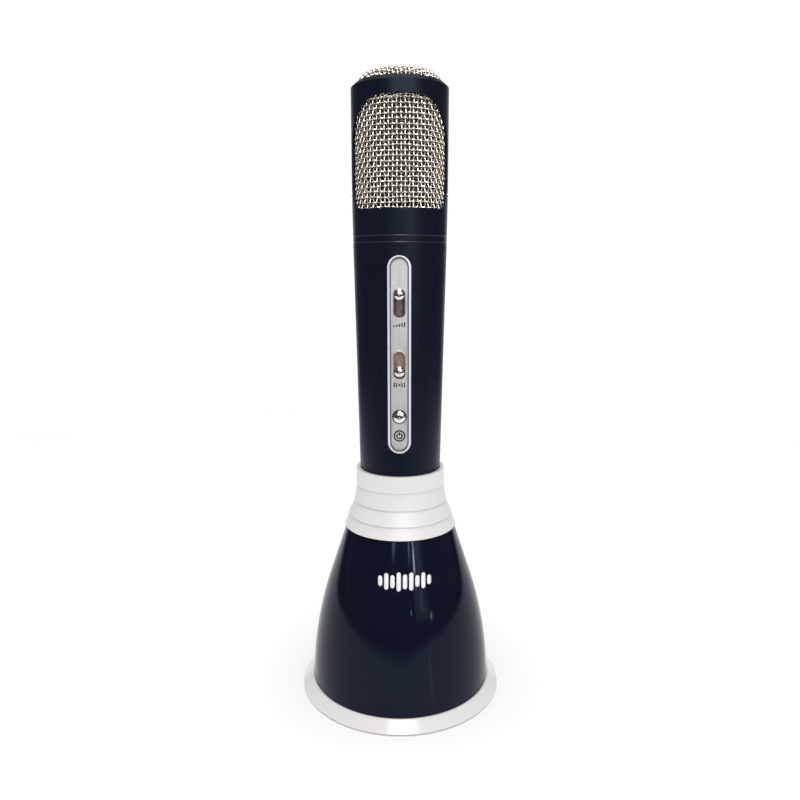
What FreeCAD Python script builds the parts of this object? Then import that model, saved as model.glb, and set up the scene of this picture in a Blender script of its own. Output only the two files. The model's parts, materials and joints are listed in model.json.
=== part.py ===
import FreeCAD, Part
import math
import operator
import os
import Sketcher
from BOPTools import SplitAPI
from FreeCAD import Placement, Rotation, Vector

# A cordless karaoke microphone that stands on its own bell-shaped speaker base.
# Millimetres. +Z is up, the front with the controls faces -Y, and the origin is the
# centre of the circle on which the base stands.

SIZES = {
    # Head: perforated by two wide windows, with the woven dome showing through its open top.
    "head_radius": 18.6,
    "head_low_radius": 18.35,
    "head_taper_z": 205.0,
    "head_bore_radius": 17.8,
    "head_top_z": 244.5,
    "head_shoulder_z": 242.8,
    "head_foot_z": 188.65,
    "head_lip_radius": 16.5,
    "head_lip_height": 1.3,
    "head_lip_rise": 0.9,
    "head_lip_chamfer": 0.25,
    "head_lip_edge": 0.2,
    "window_top_z": 237.9,
    "window_foot_z": 198.3,
    "window_angle": 151.0,
    "window_top_round": 19.0,
    "window_foot_round": 8.0,
    "notch_height": 3.0,
    "notch_z": 204.2,
    "notch_reach": 18.15,
    # Woven grille, its hem ring and what sits inside it.
    "dome_top_z": 250.0,
    "mesh_radius": 17.7,
    "mesh_wall": 1.1,
    "mesh_foot_z": 194.6,
    "mesh_shoulder_z": 237.6,
    "mesh_crown_radius": 11.0,
    "mesh_crown_z": 248.7,
    "hem_foot_z": 191.5,
    "foam_radius": 16.2,
    "foam_foot_z": 209.5,
    "foam_gap": 0.5,
    "foam_shoulder_drop": 13.0,
    "foam_crown_drop": 2.0,
    "foam_shoulder_step": 6.0,
    "foam_bore_radius": 9.6,
    "foam_bore_top_z": 230.0,
    "carrier_radius": 16.45,
    "carrier_foot_z": 200.4,
    "carrier_top_z": 209.4,
    "carrier_bore_radius": 11.6,
    "carrier_stem_radius": 3.0,
    "mount_foot_z": 207.6,
    "mount_top_z": 219.0,
    "mount_radius": 9.45,
    "capsule_radius": 7.0,
    "capsule_foot_z": 209.2,
    "capsule_top_z": 226.0,
    "capsule_port_radius": 0.6,
    "capsule_port_ring": 3.6,
    "capsule_port_depth": 2.0,
    "capsule_edge": 0.5,
    # Screws: pan head, plain shank.
    "screw_shank": 0.95,
    "screw_head": 1.75,
    "screw_head_height": 1.2,
    "screw_slot": 0.5,
    "screw_slot_reach": 0.6,
    "screw_bore": 1.0,
    "screw_tip_gap": 0.3,
    "side_screw_head": 1.4,
    "side_screw_head_height": 0.55,
    "side_screw_length": 5.0,
    "side_screw_bore_spare": 0.5,
    # Coupling ring between head and handle.
    "ring_radius": 18.3,
    "ring_top_z": 188.55,
    "ring_foot_z": 186.05,
    "ring_edge": 0.25,
    "coupling_bore": 15.2,
    "coupling_low_radius": 16.75,
    "coupling_high_radius": 17.75,
    "coupling_foot_z": 182.0,
    # Handle tube: a slender cone.
    "tube_top_radius": 18.35,
    "tube_taper": 0.02105,
    "tube_wall": 1.4,
    "tube_top_z": 186.0,
    "tube_foot_z": 80.1,
    # Control strip on the front of the handle; depths are below the skin of the tube.
    "strip_mid_z": 143.25,
    "strip_half_length": 37.95,
    "strip_half_width": 4.45,
    "strip_gap": 0.05,
    "bezel_proud": 0.2,
    "bezel_land": 0.5,
    "bezel_inner_half": 3.15,
    "bezel_lip": 0.14,
    "bezel_spare": 0.3,
    "panel_sink": 0.9,
    "panel_thickness": 1.1,
    "panel_half_width": 3.6,
    # Sliders; heights are along the strip from its middle.
    "slot_half_width": 2.05,
    "slider_travel": 6.7,
    "volume_mid": 20.2,
    "volume_rest": 23.55,
    "echo_mid": -3.45,
    "echo_rest": -5.8,
    "knob_radius": 1.95,
    "knob_straight": 2.0,
    "knob_dome": 0.75,
    "knob_gap": 0.15,
    "lever_half_width": 0.5,
    "lever_half_height": 1.2,
    "lever_reach": 4.1,
    "slit_gap": 0.15,
    "case_half_width": 3.2,
    "case_half_height": 7.5,
    "case_wall": 0.6,
    "case_depth": 4.5,
    "wafer_thickness": 0.8,
    # Power button and its switch.
    "button_height": -23.55,
    "button_hole_radius": 2.85,
    "button_radius": 2.35,
    "button_flange_radius": 3.3,
    "button_flange_gap": 0.3,
    "button_flange_thickness": 0.6,
    "button_straight": 1.7,
    "button_dome": 0.7,
    "switch_half_width": 3.0,
    "switch_height": 3.5,
    "switch_bore_radius": 1.45,
    "switch_bore_depth": 1.6,
    "plunger_radius": 1.4,
    "plunger_inset": 0.8,
    # Main board and the parts soldered to it; depths are from the axis of the tube.
    "board_back": 7.95,
    "board_thickness": 1.6,
    "board_half_width": 11.5,
    "board_low": -38.0,
    "board_high": 36.0,
    "board_screw_side": 9.6,
    "board_screw_low": -35.5,
    "board_screw_high": 33.0,
    "board_screw_bite": 1.6,
    "radio_left": 4.2,
    "radio_width": 6.0,
    "radio_low": -2.0,
    "radio_length": 14.0,
    "radio_height": 2.0,
    "chip_left": -9.6,
    "chip_width": 5.0,
    "chip_length": 6.5,
    "chip_height": 1.4,
    "echo_chip_low": -6.0,
    "amplifier_chip_low": 13.0,
    "can_radius": 2.0,
    "can_height": 3.0,
    "can_side": 7.4,
    "can_low": -20.0,
    "can_step": 6.0,
    # Chassis and battery.
    "chassis_back": 5.85,
    "chassis_thickness": 1.2,
    "chassis_post_radius": 2.1,
    "chassis_post_bore": 1.9,
    "chassis_low": -40.0,
    "chassis_high": 38.0,
    "rib_reach": 3.6,
    "rib_half_width": 11.2,
    "rib_thickness": 2.4,
    "rib_low": -20.0,
    "rib_span": 56.0,
    "cell_radius": 9.15,
    "cell_offset": 3.35,
    "cell_low": -24.0,
    "cell_length": 65.0,
    "cell_seat_gap": 0.1,
    "cell_edge": 0.8,
    "tab_width": 5.0,
    "tab_thickness": 0.3,
    "tab_inset": 1.0,
    # Rear port plate with its board, low on the handle.
    "port_mid_z": 108.0,
    "port_half_width": 5.2,
    "port_half_length": 10.5,
    "port_gap": 0.05,
    "port_proud": 0.1,
    "port_back": 15.2,
    "port_post_radius": 1.0,
    "port_post_side": 4.0,
    "port_post_height": -1.05,
    "port_post_root": 0.2,
    "port_board_back": 0.6,
    "port_board_half_width": 7.0,
    "port_board_half_height": 9.5,
    "jack_height": 3.6,
    "jack_half_width": 3.3,
    "jack_shoulder": 14.9,
    "jack_face": 16.5,
    "jack_nose_radius": 2.45,
    "jack_nose_hole": 2.5,
    "jack_bore_radius": 1.8,
    "jack_bore_floor": 3.0,
    "usb_height": -4.6,
    "usb_half_width": 3.75,
    "usb_half_height": 1.45,
    "usb_wall": 0.3,
    "usb_hole_gap": 0.06,
    "usb_base_half_width": 4.0,
    "usb_base_half_height": 2.1,
    "usb_base_front": 7.6,
    "usb_floor": 1.0,
    "usb_face": 16.4,
    "tongue_half_width": 2.4,
    "tongue_half_height": 0.3,
    "tongue_front": 15.3,
    "tongue_root": 0.5,
    "light_height": 8.3,
    "light_radius": 0.85,
    "light_hole_radius": 0.9,
    "light_face": 16.3,
    "light_dome": 0.35,
    # White collar: four flared tiers, each foot overhanging the tier below.
    "collar_top_z": 95.8,
    "collar_top_radius": 18.0,
    "tier_one_foot_z": 89.2,
    "tier_one_radius": 18.35,
    "tier_two_foot_z": 82.3,
    "tier_two_radius": 19.2,
    "tier_three_foot_z": 76.45,
    "tier_three_radius": 21.5,
    "collar_foot_z": 71.6,
    "collar_foot_radius": 23.2,
    "tier_overhang": 0.45,
    "tier_undercut": 0.3,
    "collar_seat_z": 80.0,
    "collar_ledge_z": 75.6,
    "collar_ledge_bore": 13.4,
    "collar_fit": 0.05,
    "collar_screw_ring": 15.6,
    "collar_screw_top_z": 79.3,
    # Bell: a straight upper flank runs into a round lower flank.
    "bell_foot_z": 4.6,
    "bell_foot_radius": 37.4,
    "bell_bend_z": 49.7,
    "bell_bend_radius": 29.6,
    "bell_flank_arc": 151.9,
    "bell_top_z": 71.4,
    "bell_top_radius": 22.35,
    "bell_wall": 1.8,
    "neck_radius": 19.6,
    "neck_top_z": 75.5,
    "neck_flange": 1.8,
    "neck_wall": 1.6,
    "neck_chamfer": 0.5,
    "neck_root_z": 68.0,
    # Base ring, foot ring, grille and baffle.
    "ring_rim_radius": 42.0,
    "ring_rim_z": 0.8,
    "ring_base_z": 0.4,
    "ring_rim_edge": 0.3,
    "base_ring_top_radius": 38.0,
    "base_ring_top_z": 4.55,
    "spigot_radius": 35.3,
    "spigot_bore": 34.4,
    "spigot_top_z": 9.0,
    "base_opening_radius": 33.2,
    "grille_seat_z": 3.4,
    "foot_inner_radius": 35.6,
    "foot_outer_radius": 39.0,
    "foot_top_z": 1.8,
    "foot_edge": 0.3,
    "grille_radius": 34.3,
    "grille_thickness": 0.8,
    "grille_hole_radius": 1.2,
    "grille_hole_pitch": 4.3,
    "baffle_thickness": 2.0,
    "baffle_bore": 26.5,
    # Loudspeaker, firing down; its flange hangs above the baffle on a gasket.
    "gasket_thickness": 0.8,
    "gasket_bore": 27.2,
    "flange_radius": 31.5,
    "flange_bore": 25.4,
    "flange_thickness": 1.2,
    "flange_step": 1.0,
    "speaker_screw_ring": 29.4,
    "basket_wall_bore": 26.0,
    "basket_wall": 1.0,
    "basket_bend_z": 12.0,
    "basket_top_bore": 14.6,
    "basket_seat_bore": 10.5,
    "basket_top_z": 24.5,
    "basket_top_radius": 17.0,
    "basket_hub_height": 2.0,
    "basket_spider_ledge": 0.6,
    "basket_window_low_z": 12.5,
    "basket_window_high_z": 21.0,
    "basket_window_angle": 60.0,
    "basket_window_inset": 0.5,
    "top_plate_bore": 8.0,
    "top_plate_radius": 17.5,
    "top_plate_thickness": 2.5,
    "magnet_bore": 8.8,
    "magnet_radius": 19.0,
    "magnet_thickness": 6.5,
    "magnet_edge": 0.5,
    "yoke_radius": 18.0,
    "yoke_thickness": 2.5,
    "pole_radius": 6.3,
    "coil_bore": 6.75,
    "coil_wall": 0.3,
    "coil_winding": 0.4,
    "coil_low_z": 14.0,
    "coil_high_z": 28.0,
    "winding_low_z": 23.0,
    "cone_neck_z": 14.5,
    "cone_wall": 0.5,
    "cone_edge_radius": 21.6,
    "cone_edge_z": 6.4,
    "cone_lip_under": 1.0,
    "cone_lip_over": 0.8,
    "cone_neck_spare": 0.2,
    "cap_sag": 2.0,
    "cap_wall": 0.4,
    "cap_thinning": 0.1,
    "surround_outer": 27.1,
    "surround_lip": 1.0,
    "surround_rim": 1.7,
    "surround_rise": 1.9,
    "surround_thickness": 0.5,
    "spider_outer": 14.5,
    "spider_z": 20.0,
    "spider_thickness": 0.4,
    "spider_fold": 0.6,
    "spider_fit": 0.05,
    # Paper-thin gaps left where glue would be.
    "glue_gap": 0.02,
    "edge_gap": 0.01,
}

COUNTS = {
    "capsule_ports": 6,
    "collar_screws": 3,
    "speaker_screws": 4,
    "basket_windows": 4,
    "grille_rings": 7,
    "holes_per_ring_step": 6,
    "chassis_ribs": 3,
    "spider_folds": 3,
    "cans_per_side": 2,
}

SHEET_NAME = "Sizes"
TURN = 360.0
FAR = 60.0
CUT_SPARE = 1.0
WINDOW_STEPS = 8

doc = FreeCAD.newDocument("karaoke_microphone")


class Size:
    """A number together with the sheet formula that the document binds to."""

    def __init__(self, value, formula):
        self.value = value
        self.formula = formula

    def __add__(self, other):
        return joined(operator.add, "+", self, other)

    def __radd__(self, other):
        return joined(operator.add, "+", other, self)

    def __sub__(self, other):
        return joined(operator.sub, "-", self, other)

    def __rsub__(self, other):
        return joined(operator.sub, "-", other, self)

    def __mul__(self, other):
        return joined(operator.mul, "*", self, other)

    def __rmul__(self, other):
        return joined(operator.mul, "*", other, self)

    def __truediv__(self, other):
        return joined(operator.truediv, "/", self, other)

    def __neg__(self):
        return joined(operator.sub, "-", 0, self)


def number(size):
    return size.value if isinstance(size, Size) else float(size)


def formula(size):
    return size.formula if isinstance(size, Size) else repr(float(size))


def joined(work, sign, left, right):
    return Size(work(number(left), number(right)), f"({formula(left)} {sign} {formula(right)})")


class Sheet:
    """The spreadsheet of driving dimensions; each alias reads back as a Size."""

    def __init__(self):
        self.sheet = doc.addObject("Spreadsheet::Sheet", SHEET_NAME)
        for row, (alias, value) in enumerate({**SIZES, **COUNTS}.items(), start=1):
            self.sheet.set(f"A{row}", alias)
            self.sheet.set(f"B{row}", str(value))
            self.sheet.setAlias(f"B{row}", alias)
            setattr(self, alias, Size(value, f"{SHEET_NAME}.{alias}"))


def bind(thing, setting, size):
    """Set one property of a document object and tie it to its formula."""
    if isinstance(size, Size):
        thing.setExpression(setting, size.formula)
    else:
        setattr(thing, setting, size)


# ---- Sketch outlines -------------------------------------------------------------------


def hold(sketch, kind, *place, size):
    """Add a constraint and tie it to its formula."""
    index = sketch.addConstraint(Sketcher.Constraint(kind, *place, number(size)))
    if isinstance(size, Size):
        sketch.setExpression(f"Constraints[{index}]", size.formula)


def hold_point(sketch, edge, end, x, y):
    """Fix one point of an edge from the origin of the sketch."""
    origin_point = (-1, 1)
    for kind, axis, place in (("DistanceX", -2, x), ("DistanceY", -1, y)):
        if abs(number(place)) < 1e-9:
            sketch.addConstraint(Sketcher.Constraint("PointOnObject", edge, end, axis))
        else:
            hold(sketch, kind, *origin_point, edge, end, size=place)


class Disc:
    def __init__(self, x, y, radius):
        self.x, self.y, self.radius = x, y, radius

    def add_to(self, sketch):
        centre = Vector(number(self.x), number(self.y), 0)
        edge = sketch.addGeometry(Part.Circle(centre, Vector(0, 0, 1), number(self.radius)))
        hold_point(sketch, edge, 3, self.x, self.y)
        hold(sketch, "Radius", edge, size=self.radius)


class Slot:
    """An upright slot with round ends, given by the centres of its two ends."""

    def __init__(self, low, high, half_width, x=0.0):
        self.low, self.high, self.half_width, self.x = low, high, half_width, x

    def add_to(self, sketch):
        x, low, high = number(self.x), number(self.low), number(self.high)
        half = number(self.half_width)
        axis = Vector(0, 0, 1)
        foot = Part.Circle(Vector(x, low, 0), axis, half)
        head = Part.Circle(Vector(x, high, 0), axis, half)
        right = sketch.addGeometry(Part.LineSegment(Vector(x + half, low, 0), Vector(x + half, high, 0)))
        top = sketch.addGeometry(Part.ArcOfCircle(head, 0, math.pi))
        left = sketch.addGeometry(Part.LineSegment(Vector(x - half, high, 0), Vector(x - half, low, 0)))
        bottom = sketch.addGeometry(Part.ArcOfCircle(foot, math.pi, 2 * math.pi))
        for one, other in ((right, top), (top, left), (left, bottom), (bottom, right)):
            sketch.addConstraint(Sketcher.Constraint("Tangent", one, 2, other, 1))
        hold_point(sketch, top, 3, self.x, self.high)
        hold_point(sketch, bottom, 3, self.x, self.low)
        hold(sketch, "Radius", top, size=self.half_width)


class Outline:
    """A closed outline of corners (x, y). A third value makes the edge that leaves the
    corner an arc of that radius, centred to its left, or to its right when negative."""

    def __init__(self, *corners):
        self.corners = corners

    def add_to(self, sketch):
        ends = []
        for index, corner in enumerate(self.corners):
            after = self.corners[(index + 1) % len(self.corners)]
            ends.append(self.add_edge(sketch, corner, after))
        for (_, last), (first, _) in zip(ends, ends[1:] + ends[:1]):
            sketch.addConstraint(Sketcher.Constraint("Coincident", *last, *first))
        for (first, _), corner in zip(ends, self.corners):
            hold_point(sketch, *first, corner[0], corner[1])

    def add_edge(self, sketch, corner, after):
        """Add one edge, and give its start and its end as (edge, point)."""
        start = Vector(number(corner[0]), number(corner[1]), 0)
        stop = Vector(number(after[0]), number(after[1]), 0)
        if len(corner) == 2:
            edge = sketch.addGeometry(Part.LineSegment(start, stop))
            return (edge, 1), (edge, 2)
        radius = number(corner[2])
        chord = stop - start
        left_of_chord = Vector(-chord.y, chord.x, 0).normalize()
        rise = math.sqrt(radius ** 2 - (chord.Length / 2) ** 2)
        centre = (start + stop) / 2 + left_of_chord * math.copysign(rise, radius)
        circle = Part.Circle(centre, Vector(0, 0, 1), abs(radius))
        leftward = radius > 0
        first, second = (start, stop) if leftward else (stop, start)
        edge = sketch.addGeometry(Part.ArcOfCircle(circle, circle.parameter(first), circle.parameter(second)))
        hold(sketch, "Radius", edge, size=corner[2] if leftward else -corner[2])
        return ((edge, 1), (edge, 2)) if leftward else ((edge, 2), (edge, 1))


def rectangle(left, low, right, high):
    return Outline((left, low), (right, low), (right, high), (left, high))


def touching_arc(run, drop):
    """Radius of the arc that starts level and has dropped this far after this run."""
    return (run * run + drop * drop) / (2 * drop)


# ---- Features --------------------------------------------------------------------------


def new_body(label):
    body = doc.addObject("PartDesign::Body", label)
    body.Label = label
    return body


def draw(body, role, outlines, offset=0.0, tilt=None):
    """Make a sketch on one of the body's own planes, moved along its normal by offset.
    A tilt is a placement that turns the whole plane first."""
    plane = next(face for face in body.Origin.OriginFeatures if face.Role == role)
    sketch = body.newObject("Sketcher::SketchObject", body.Name + "_sketch")
    sketch.AttachmentSupport = [(plane, "")]
    sketch.MapMode = "FlatFace"
    lift = Placement(Vector(0, 0, number(offset)), Rotation())
    if tilt is None:
        sketch.AttachmentOffset = lift
        bind_offset = isinstance(offset, Size)
    else:
        upright = Placement(Vector(), Rotation(Vector(1, 0, 0), 90))
        sketch.AttachmentOffset = upright.inverse() * tilt * upright * lift
        bind_offset = False
    if bind_offset:
        sketch.setExpression("AttachmentOffset.Base.z", offset.formula)
    for outline in outlines:
        outline.add_to(sketch)
    doc.recompute()
    return sketch


def add(body, kind, sketch, **settings):
    """Add a feature made from a sketch. The solid has to grow or shrink as its kind says."""
    before = body.Shape.Volume if not body.Shape.isNull() else 0.0
    feature = body.newObject("PartDesign::" + kind, body.Name + "_" + kind.lower())
    feature.Profile = sketch
    if kind in ("Revolution", "Groove"):
        feature.ReferenceAxis = (sketch, ["V_Axis"])
    for setting, size in settings.items():
        bind(feature, setting, size)
    sketch.Visibility = False
    doc.recompute()
    check_change(body, kind, before)
    return feature


def check_change(body, kind, before):
    removes = kind in ("Pocket", "Groove", "SubtractiveLoft")
    change = body.Shape.Volume - before
    if body.Shape.isNull() or (change >= 0 if removes else change <= 0):
        raise RuntimeError(f"{kind} on {body.Label} changed the volume by {change:.3f}")


def repeat(body, feature, occurrences):
    """Repeat a feature around the body's upright axis."""
    pattern = body.newObject("PartDesign::PolarPattern", body.Name + "_pattern")
    pattern.Originals = [feature]
    upright = next(axis for axis in body.Origin.OriginFeatures if axis.Role == "Z_Axis")
    pattern.Axis = (upright, [""])
    pattern.Angle = TURN
    bind(pattern, "Occurrences", occurrences)
    body.Tip = pattern
    doc.recompute()


def turned(label, *outlines):
    """A body turned around the upright axis from outlines given as (radius, height)."""
    body = new_body(label)
    add(body, "Revolution", draw(body, "XZ_Plane", outlines), Angle=TURN)
    return body


def plate(label, outlines, back, front):
    """A body padded towards the front, between two distances from the tube's axis."""
    body = new_body(label)
    add(body, "Pad", draw(body, "XZ_Plane", outlines, back), Length=front - back)
    return body


def sunk(body, outlines, front, depth, tilt=None):
    """Cut inwards from a distance in front of the axis."""
    return add(body, "Pocket", draw(body, "XZ_Plane", outlines, front, tilt), Length=depth)


def grown(body, outlines, back, front):
    return add(body, "Pad", draw(body, "XZ_Plane", outlines, back), Length=front - back)


def compound(label, pieces):
    group = doc.addObject("Part::Compound", label)
    group.Label = label
    group.Links = pieces
    doc.recompute()
    return group


def screw(label, place, head, head_height, length):
    """A pan-head screw whose head rests at the place's origin and whose shank runs down."""
    d = dims
    body = turned(
        label,
        Outline((0, -length), (d.screw_shank, -length), (d.screw_shank, 0), (head, 0),
                (head, head_height / 2), (head / 2, head_height), (0, head_height)),
    )
    half = d.screw_slot / 2
    reach = head * d.screw_slot_reach
    slots = [rectangle(-reach, -half, reach, half), rectangle(-half, -reach, half, reach)]
    for slot in slots:
        add(body, "Pocket", draw(body, "XY_Plane", [slot], head_height), Length=head_height / 2)
    body.Placement = place
    return body


def screws(label, places, head=None, head_height=None, length=None):
    d = dims
    pieces = [
        screw(f"{label}_{index}", place, head or d.screw_head, head_height or d.screw_head_height, length)
        for index, place in enumerate(places)
    ]
    return compound(label, pieces)


def ring_places(count, radius, height, first_angle=0.0, flip=False):
    """Placements on a circle around the upright axis; flipped ones point down."""
    places = []
    for index in range(int(number(count))):
        turn = Rotation(Vector(0, 0, 1), first_angle + index * TURN / number(count))
        spot = turn.multVec(Vector(number(radius), 0, 0)) + Vector(0, 0, number(height))
        upside = Rotation(Vector(1, 0, 0), 180 if flip else 0)
        places.append(Placement(spot, turn * upside))
    return places


def ring_discs(count, ring_radius, radius, first_angle=0.0):
    """Round holes on a circle, for a sketch on the level plane."""
    discs = []
    for index in range(int(number(count))):
        angle = math.radians(first_angle + index * TURN / number(count))
        discs.append(Disc(ring_radius * math.cos(angle), ring_radius * math.sin(angle), radius))
    return discs


def tube_radius_at(height):
    d = dims
    return d.tube_top_radius - (d.tube_top_z - height) * d.tube_taper


def skin_place(mid_height, turn=0.0):
    """The frame of a strip laid on the handle: its upright axis runs along the slope of the
    tube, and the skin lies tube_radius_at(mid_height) in front of that axis."""
    skin = number(tube_radius_at(mid_height))
    slope = math.atan(number(dims.tube_taper))
    lean = Rotation(Vector(1, 0, 0), math.degrees(slope))
    base = Vector(0, skin * (math.cos(slope) - 1), number(mid_height) + skin * math.sin(slope))
    around = Placement(Vector(), Rotation(Vector(0, 0, 1), turn))
    return around * Placement(base, lean)


def trim_round(body, radius):
    """Cut away everything outside a radius, so the front follows the round of the handle."""
    outside = rectangle(radius, -FAR, radius + FAR, FAR)
    return add(body, "Groove", draw(body, "XZ_Plane", [outside]), Angle=TURN)


# ---- Head ------------------------------------------------------------------------------


def head_frame():
    """Thin tube with a chamfered lip, a wide rounded window front and rear, and a flat
    notch across the foot of each side post."""
    d = dims
    shell = turned(
        "head_shell",
        Outline(
            (d.head_bore_radius, d.head_foot_z), (d.head_low_radius, d.head_foot_z),
            (d.head_radius, d.head_taper_z), (d.head_radius, d.head_shoulder_z),
            (d.head_lip_radius + d.head_lip_chamfer, d.head_top_z),
            (d.head_lip_radius, d.head_top_z - d.head_lip_edge),
            (d.head_lip_radius, d.head_top_z - d.head_lip_rise),
            (d.head_bore_radius, d.head_top_z - d.head_lip_rise - d.head_lip_height),
        ),
    )
    low = d.notch_z - d.notch_height / 2
    high = d.notch_z + d.notch_height / 2
    for left, right in ((d.notch_reach, FAR), (-FAR, -d.notch_reach)):
        notch = rectangle(left, low, right, high)
        add(shell, "Pocket", draw(shell, "XZ_Plane", [notch]), Length=FAR, SideType="Symmetric")
    bore_sideways(shell)
    windows = compound("windows", [window_cutter(-90), window_cutter(90)])
    frame = doc.addObject("Part::Cut", "head_frame")
    frame.Label = "head_frame"
    frame.Base = shell
    frame.Tool = windows
    doc.recompute()
    return frame


def bore_sideways(body, depth=FAR):
    """Drill the two screw holes in from the sides, at the height of the notches."""
    d = dims
    for turn in (90, 270):
        place = Placement(Vector(), Rotation(Vector(0, 0, 1), turn))
        hole = draw(body, "XZ_Plane", [Disc(0, d.notch_z, d.screw_bore)], FAR, place)
        add(body, "Pocket", hole, Length=depth)


def window_cutter(middle):
    """Solid that cuts one window square to the wall. Its outline is a rectangle with round
    corners, wrapped around the tube, which cuts a plug out of a sleeve thicker than the wall."""
    d = dims
    bore = number(d.head_bore_radius)
    skin = number(d.head_radius)
    low = number(d.window_foot_z) - CUT_SPARE
    height = number(d.window_top_z) + CUT_SPARE - low
    sleeve = Part.makeCylinder(skin + CUT_SPARE, height, Vector(0, 0, low))
    sleeve = sleeve.cut(Part.makeCylinder(bore - CUT_SPARE, height, Vector(0, 0, low)))
    inside = wrapped_window(middle, bore - 2 * CUT_SPARE)
    outside = wrapped_window(middle, skin + 2 * CUT_SPARE)
    edge = Part.makeLoft([inside, outside], False, True)
    plug, _ = sorted(SplitAPI.slice(sleeve, [edge], "Split").Solids, key=lambda solid: solid.Volume)
    cutter = doc.addObject("Part::Feature", "window_cutter")
    cutter.Shape = plug
    return cutter


def wrapped_window(middle, radius):
    """The window's outline at one radius. Lengths around the tube are measured on its skin."""
    d = dims
    skin = number(d.head_radius)
    half = math.radians(number(d.window_angle)) / 2
    centre = math.radians(middle)

    def on_wall(around, height):
        angle = centre + around / skin
        return Vector(radius * math.cos(angle), radius * math.sin(angle), height)

    def curve(points):
        line = Part.BSplineCurve()
        line.interpolate(points)
        return line.toShape()

    edges = []
    reach = half * skin
    corners = (
        (1, number(d.window_top_z), number(d.window_top_round), 0),
        (-1, number(d.window_top_z), number(d.window_top_round), 90),
        (-1, number(d.window_foot_z), number(d.window_foot_round), 180),
        (1, number(d.window_foot_z), number(d.window_foot_round), 270),
    )
    stops = []
    for side, height, rounding, first_angle in corners:
        upward = 1 if first_angle < 180 else -1
        bend = []
        for step in range(WINDOW_STEPS + 1):
            angle = math.radians(first_angle + 90 * step / WINDOW_STEPS)
            around = side * (reach - rounding) + rounding * math.cos(angle)
            bend.append(on_wall(around, height - upward * rounding + rounding * math.sin(angle)))
        edges.append(curve(bend))
        stops.append((bend[0], bend[-1], side, height, rounding))
    spans = []
    for one, other in zip(stops, stops[1:] + stops[:1]):
        if one[3] == other[3]:
            middle_point = on_wall(0, one[3])
            spans.append(Part.Arc(one[1], middle_point, other[0]).toShape())
        else:
            spans.append(Part.LineSegment(one[1], other[0]).toShape())
    loop = [edge for pair in zip(edges, spans) for edge in pair]
    return Part.Wire(loop)


def mesh_grille():
    """The woven grille as a plain cup: straight sides, rounded shoulder, low crown."""
    d = dims
    inner = d.mesh_radius - d.mesh_wall
    shoulder = touching_arc(d.mesh_crown_z - d.mesh_shoulder_z, d.mesh_radius - d.mesh_crown_radius)
    crown = touching_arc(d.mesh_crown_radius, d.dome_top_z - d.mesh_crown_z)
    body = turned(
        "mesh_grille",
        Outline(
            (inner, d.mesh_foot_z), (d.mesh_radius, d.mesh_foot_z),
            (d.mesh_radius, d.mesh_shoulder_z, shoulder),
            (d.mesh_crown_radius, d.mesh_crown_z, crown),
            (0, d.dome_top_z), (0, d.dome_top_z - d.mesh_wall),
            (d.mesh_crown_radius - d.mesh_wall, d.mesh_crown_z - d.mesh_wall),
            (inner, d.mesh_shoulder_z - d.mesh_wall),
        ),
    )
    bore_sideways(body)
    return body


def hem_ring():
    """Folded metal ring that closes the foot of the woven grille."""
    d = dims
    return turned(
        "grille_hem_ring",
        rectangle(d.mesh_radius - d.mesh_wall, d.hem_foot_z, d.mesh_radius, d.mesh_foot_z),
    )


def foam_windscreen():
    """Foam plug behind the mesh, hollow over the capsule."""
    d = dims
    top = d.dome_top_z - d.mesh_wall - d.foam_gap
    return turned(
        "foam_windscreen",
        Outline(
            (d.foam_bore_radius, d.foam_foot_z), (d.foam_radius, d.foam_foot_z),
            (d.foam_radius, top - d.foam_shoulder_drop),
            (d.foam_radius - d.foam_shoulder_step, top - d.foam_crown_drop), (0, top),
            (0, d.foam_bore_top_z), (d.foam_bore_radius, d.foam_bore_top_z),
        ),
    )


def capsule_carrier():
    """Disc with a cup for the capsule; the two side screws bite into its rim."""
    d = dims
    body = turned(
        "capsule_carrier",
        Outline(
            (d.carrier_stem_radius, d.carrier_foot_z), (d.carrier_radius, d.carrier_foot_z),
            (d.carrier_radius, d.carrier_top_z), (d.carrier_bore_radius, d.carrier_top_z),
            (d.carrier_bore_radius, d.mount_foot_z), (d.carrier_stem_radius, d.mount_foot_z),
        ),
    )
    bore_sideways(body, FAR - d.notch_reach + d.side_screw_length + d.side_screw_bore_spare)
    return body


def capsule_mount():
    """Rubber cup that holds the capsule and keeps handling noise away from it."""
    d = dims
    return turned(
        "capsule_mount",
        Outline(
            (d.carrier_stem_radius, d.mount_foot_z), (d.mount_radius, d.mount_foot_z),
            (d.mount_radius, d.mount_top_z), (d.capsule_radius, d.mount_top_z),
            (d.capsule_radius, d.capsule_foot_z), (d.carrier_stem_radius, d.capsule_foot_z),
        ),
    )


def mic_capsule():
    """Metal capsule with a ring of sound ports in its face."""
    d = dims
    body = turned(
        "mic_capsule",
        Outline(
            (0, d.capsule_foot_z), (d.capsule_radius, d.capsule_foot_z),
            (d.capsule_radius, d.capsule_top_z - d.capsule_edge),
            (d.capsule_radius - d.capsule_edge, d.capsule_top_z),
            (0, d.capsule_top_z),
        ),
    )
    ports = ring_discs(d.capsule_ports, d.capsule_port_ring, d.capsule_port_radius)
    ports.append(Disc(0, 0, d.capsule_port_radius))
    add(body, "Pocket", draw(body, "XY_Plane", ports, d.capsule_top_z), Length=d.capsule_port_depth)
    return body


def head_screws():
    """One pan-head screw in the notch at each side of the head."""
    d = dims
    places = []
    for side in (1, -1):
        outward = Rotation(Vector(0, 1, 0), 90 * side)
        places.append(Placement(Vector(side * number(d.notch_reach), 0, number(d.notch_z)), outward))
    return screws("head_screws", places, d.side_screw_head, d.side_screw_head_height, d.side_screw_length)


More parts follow.
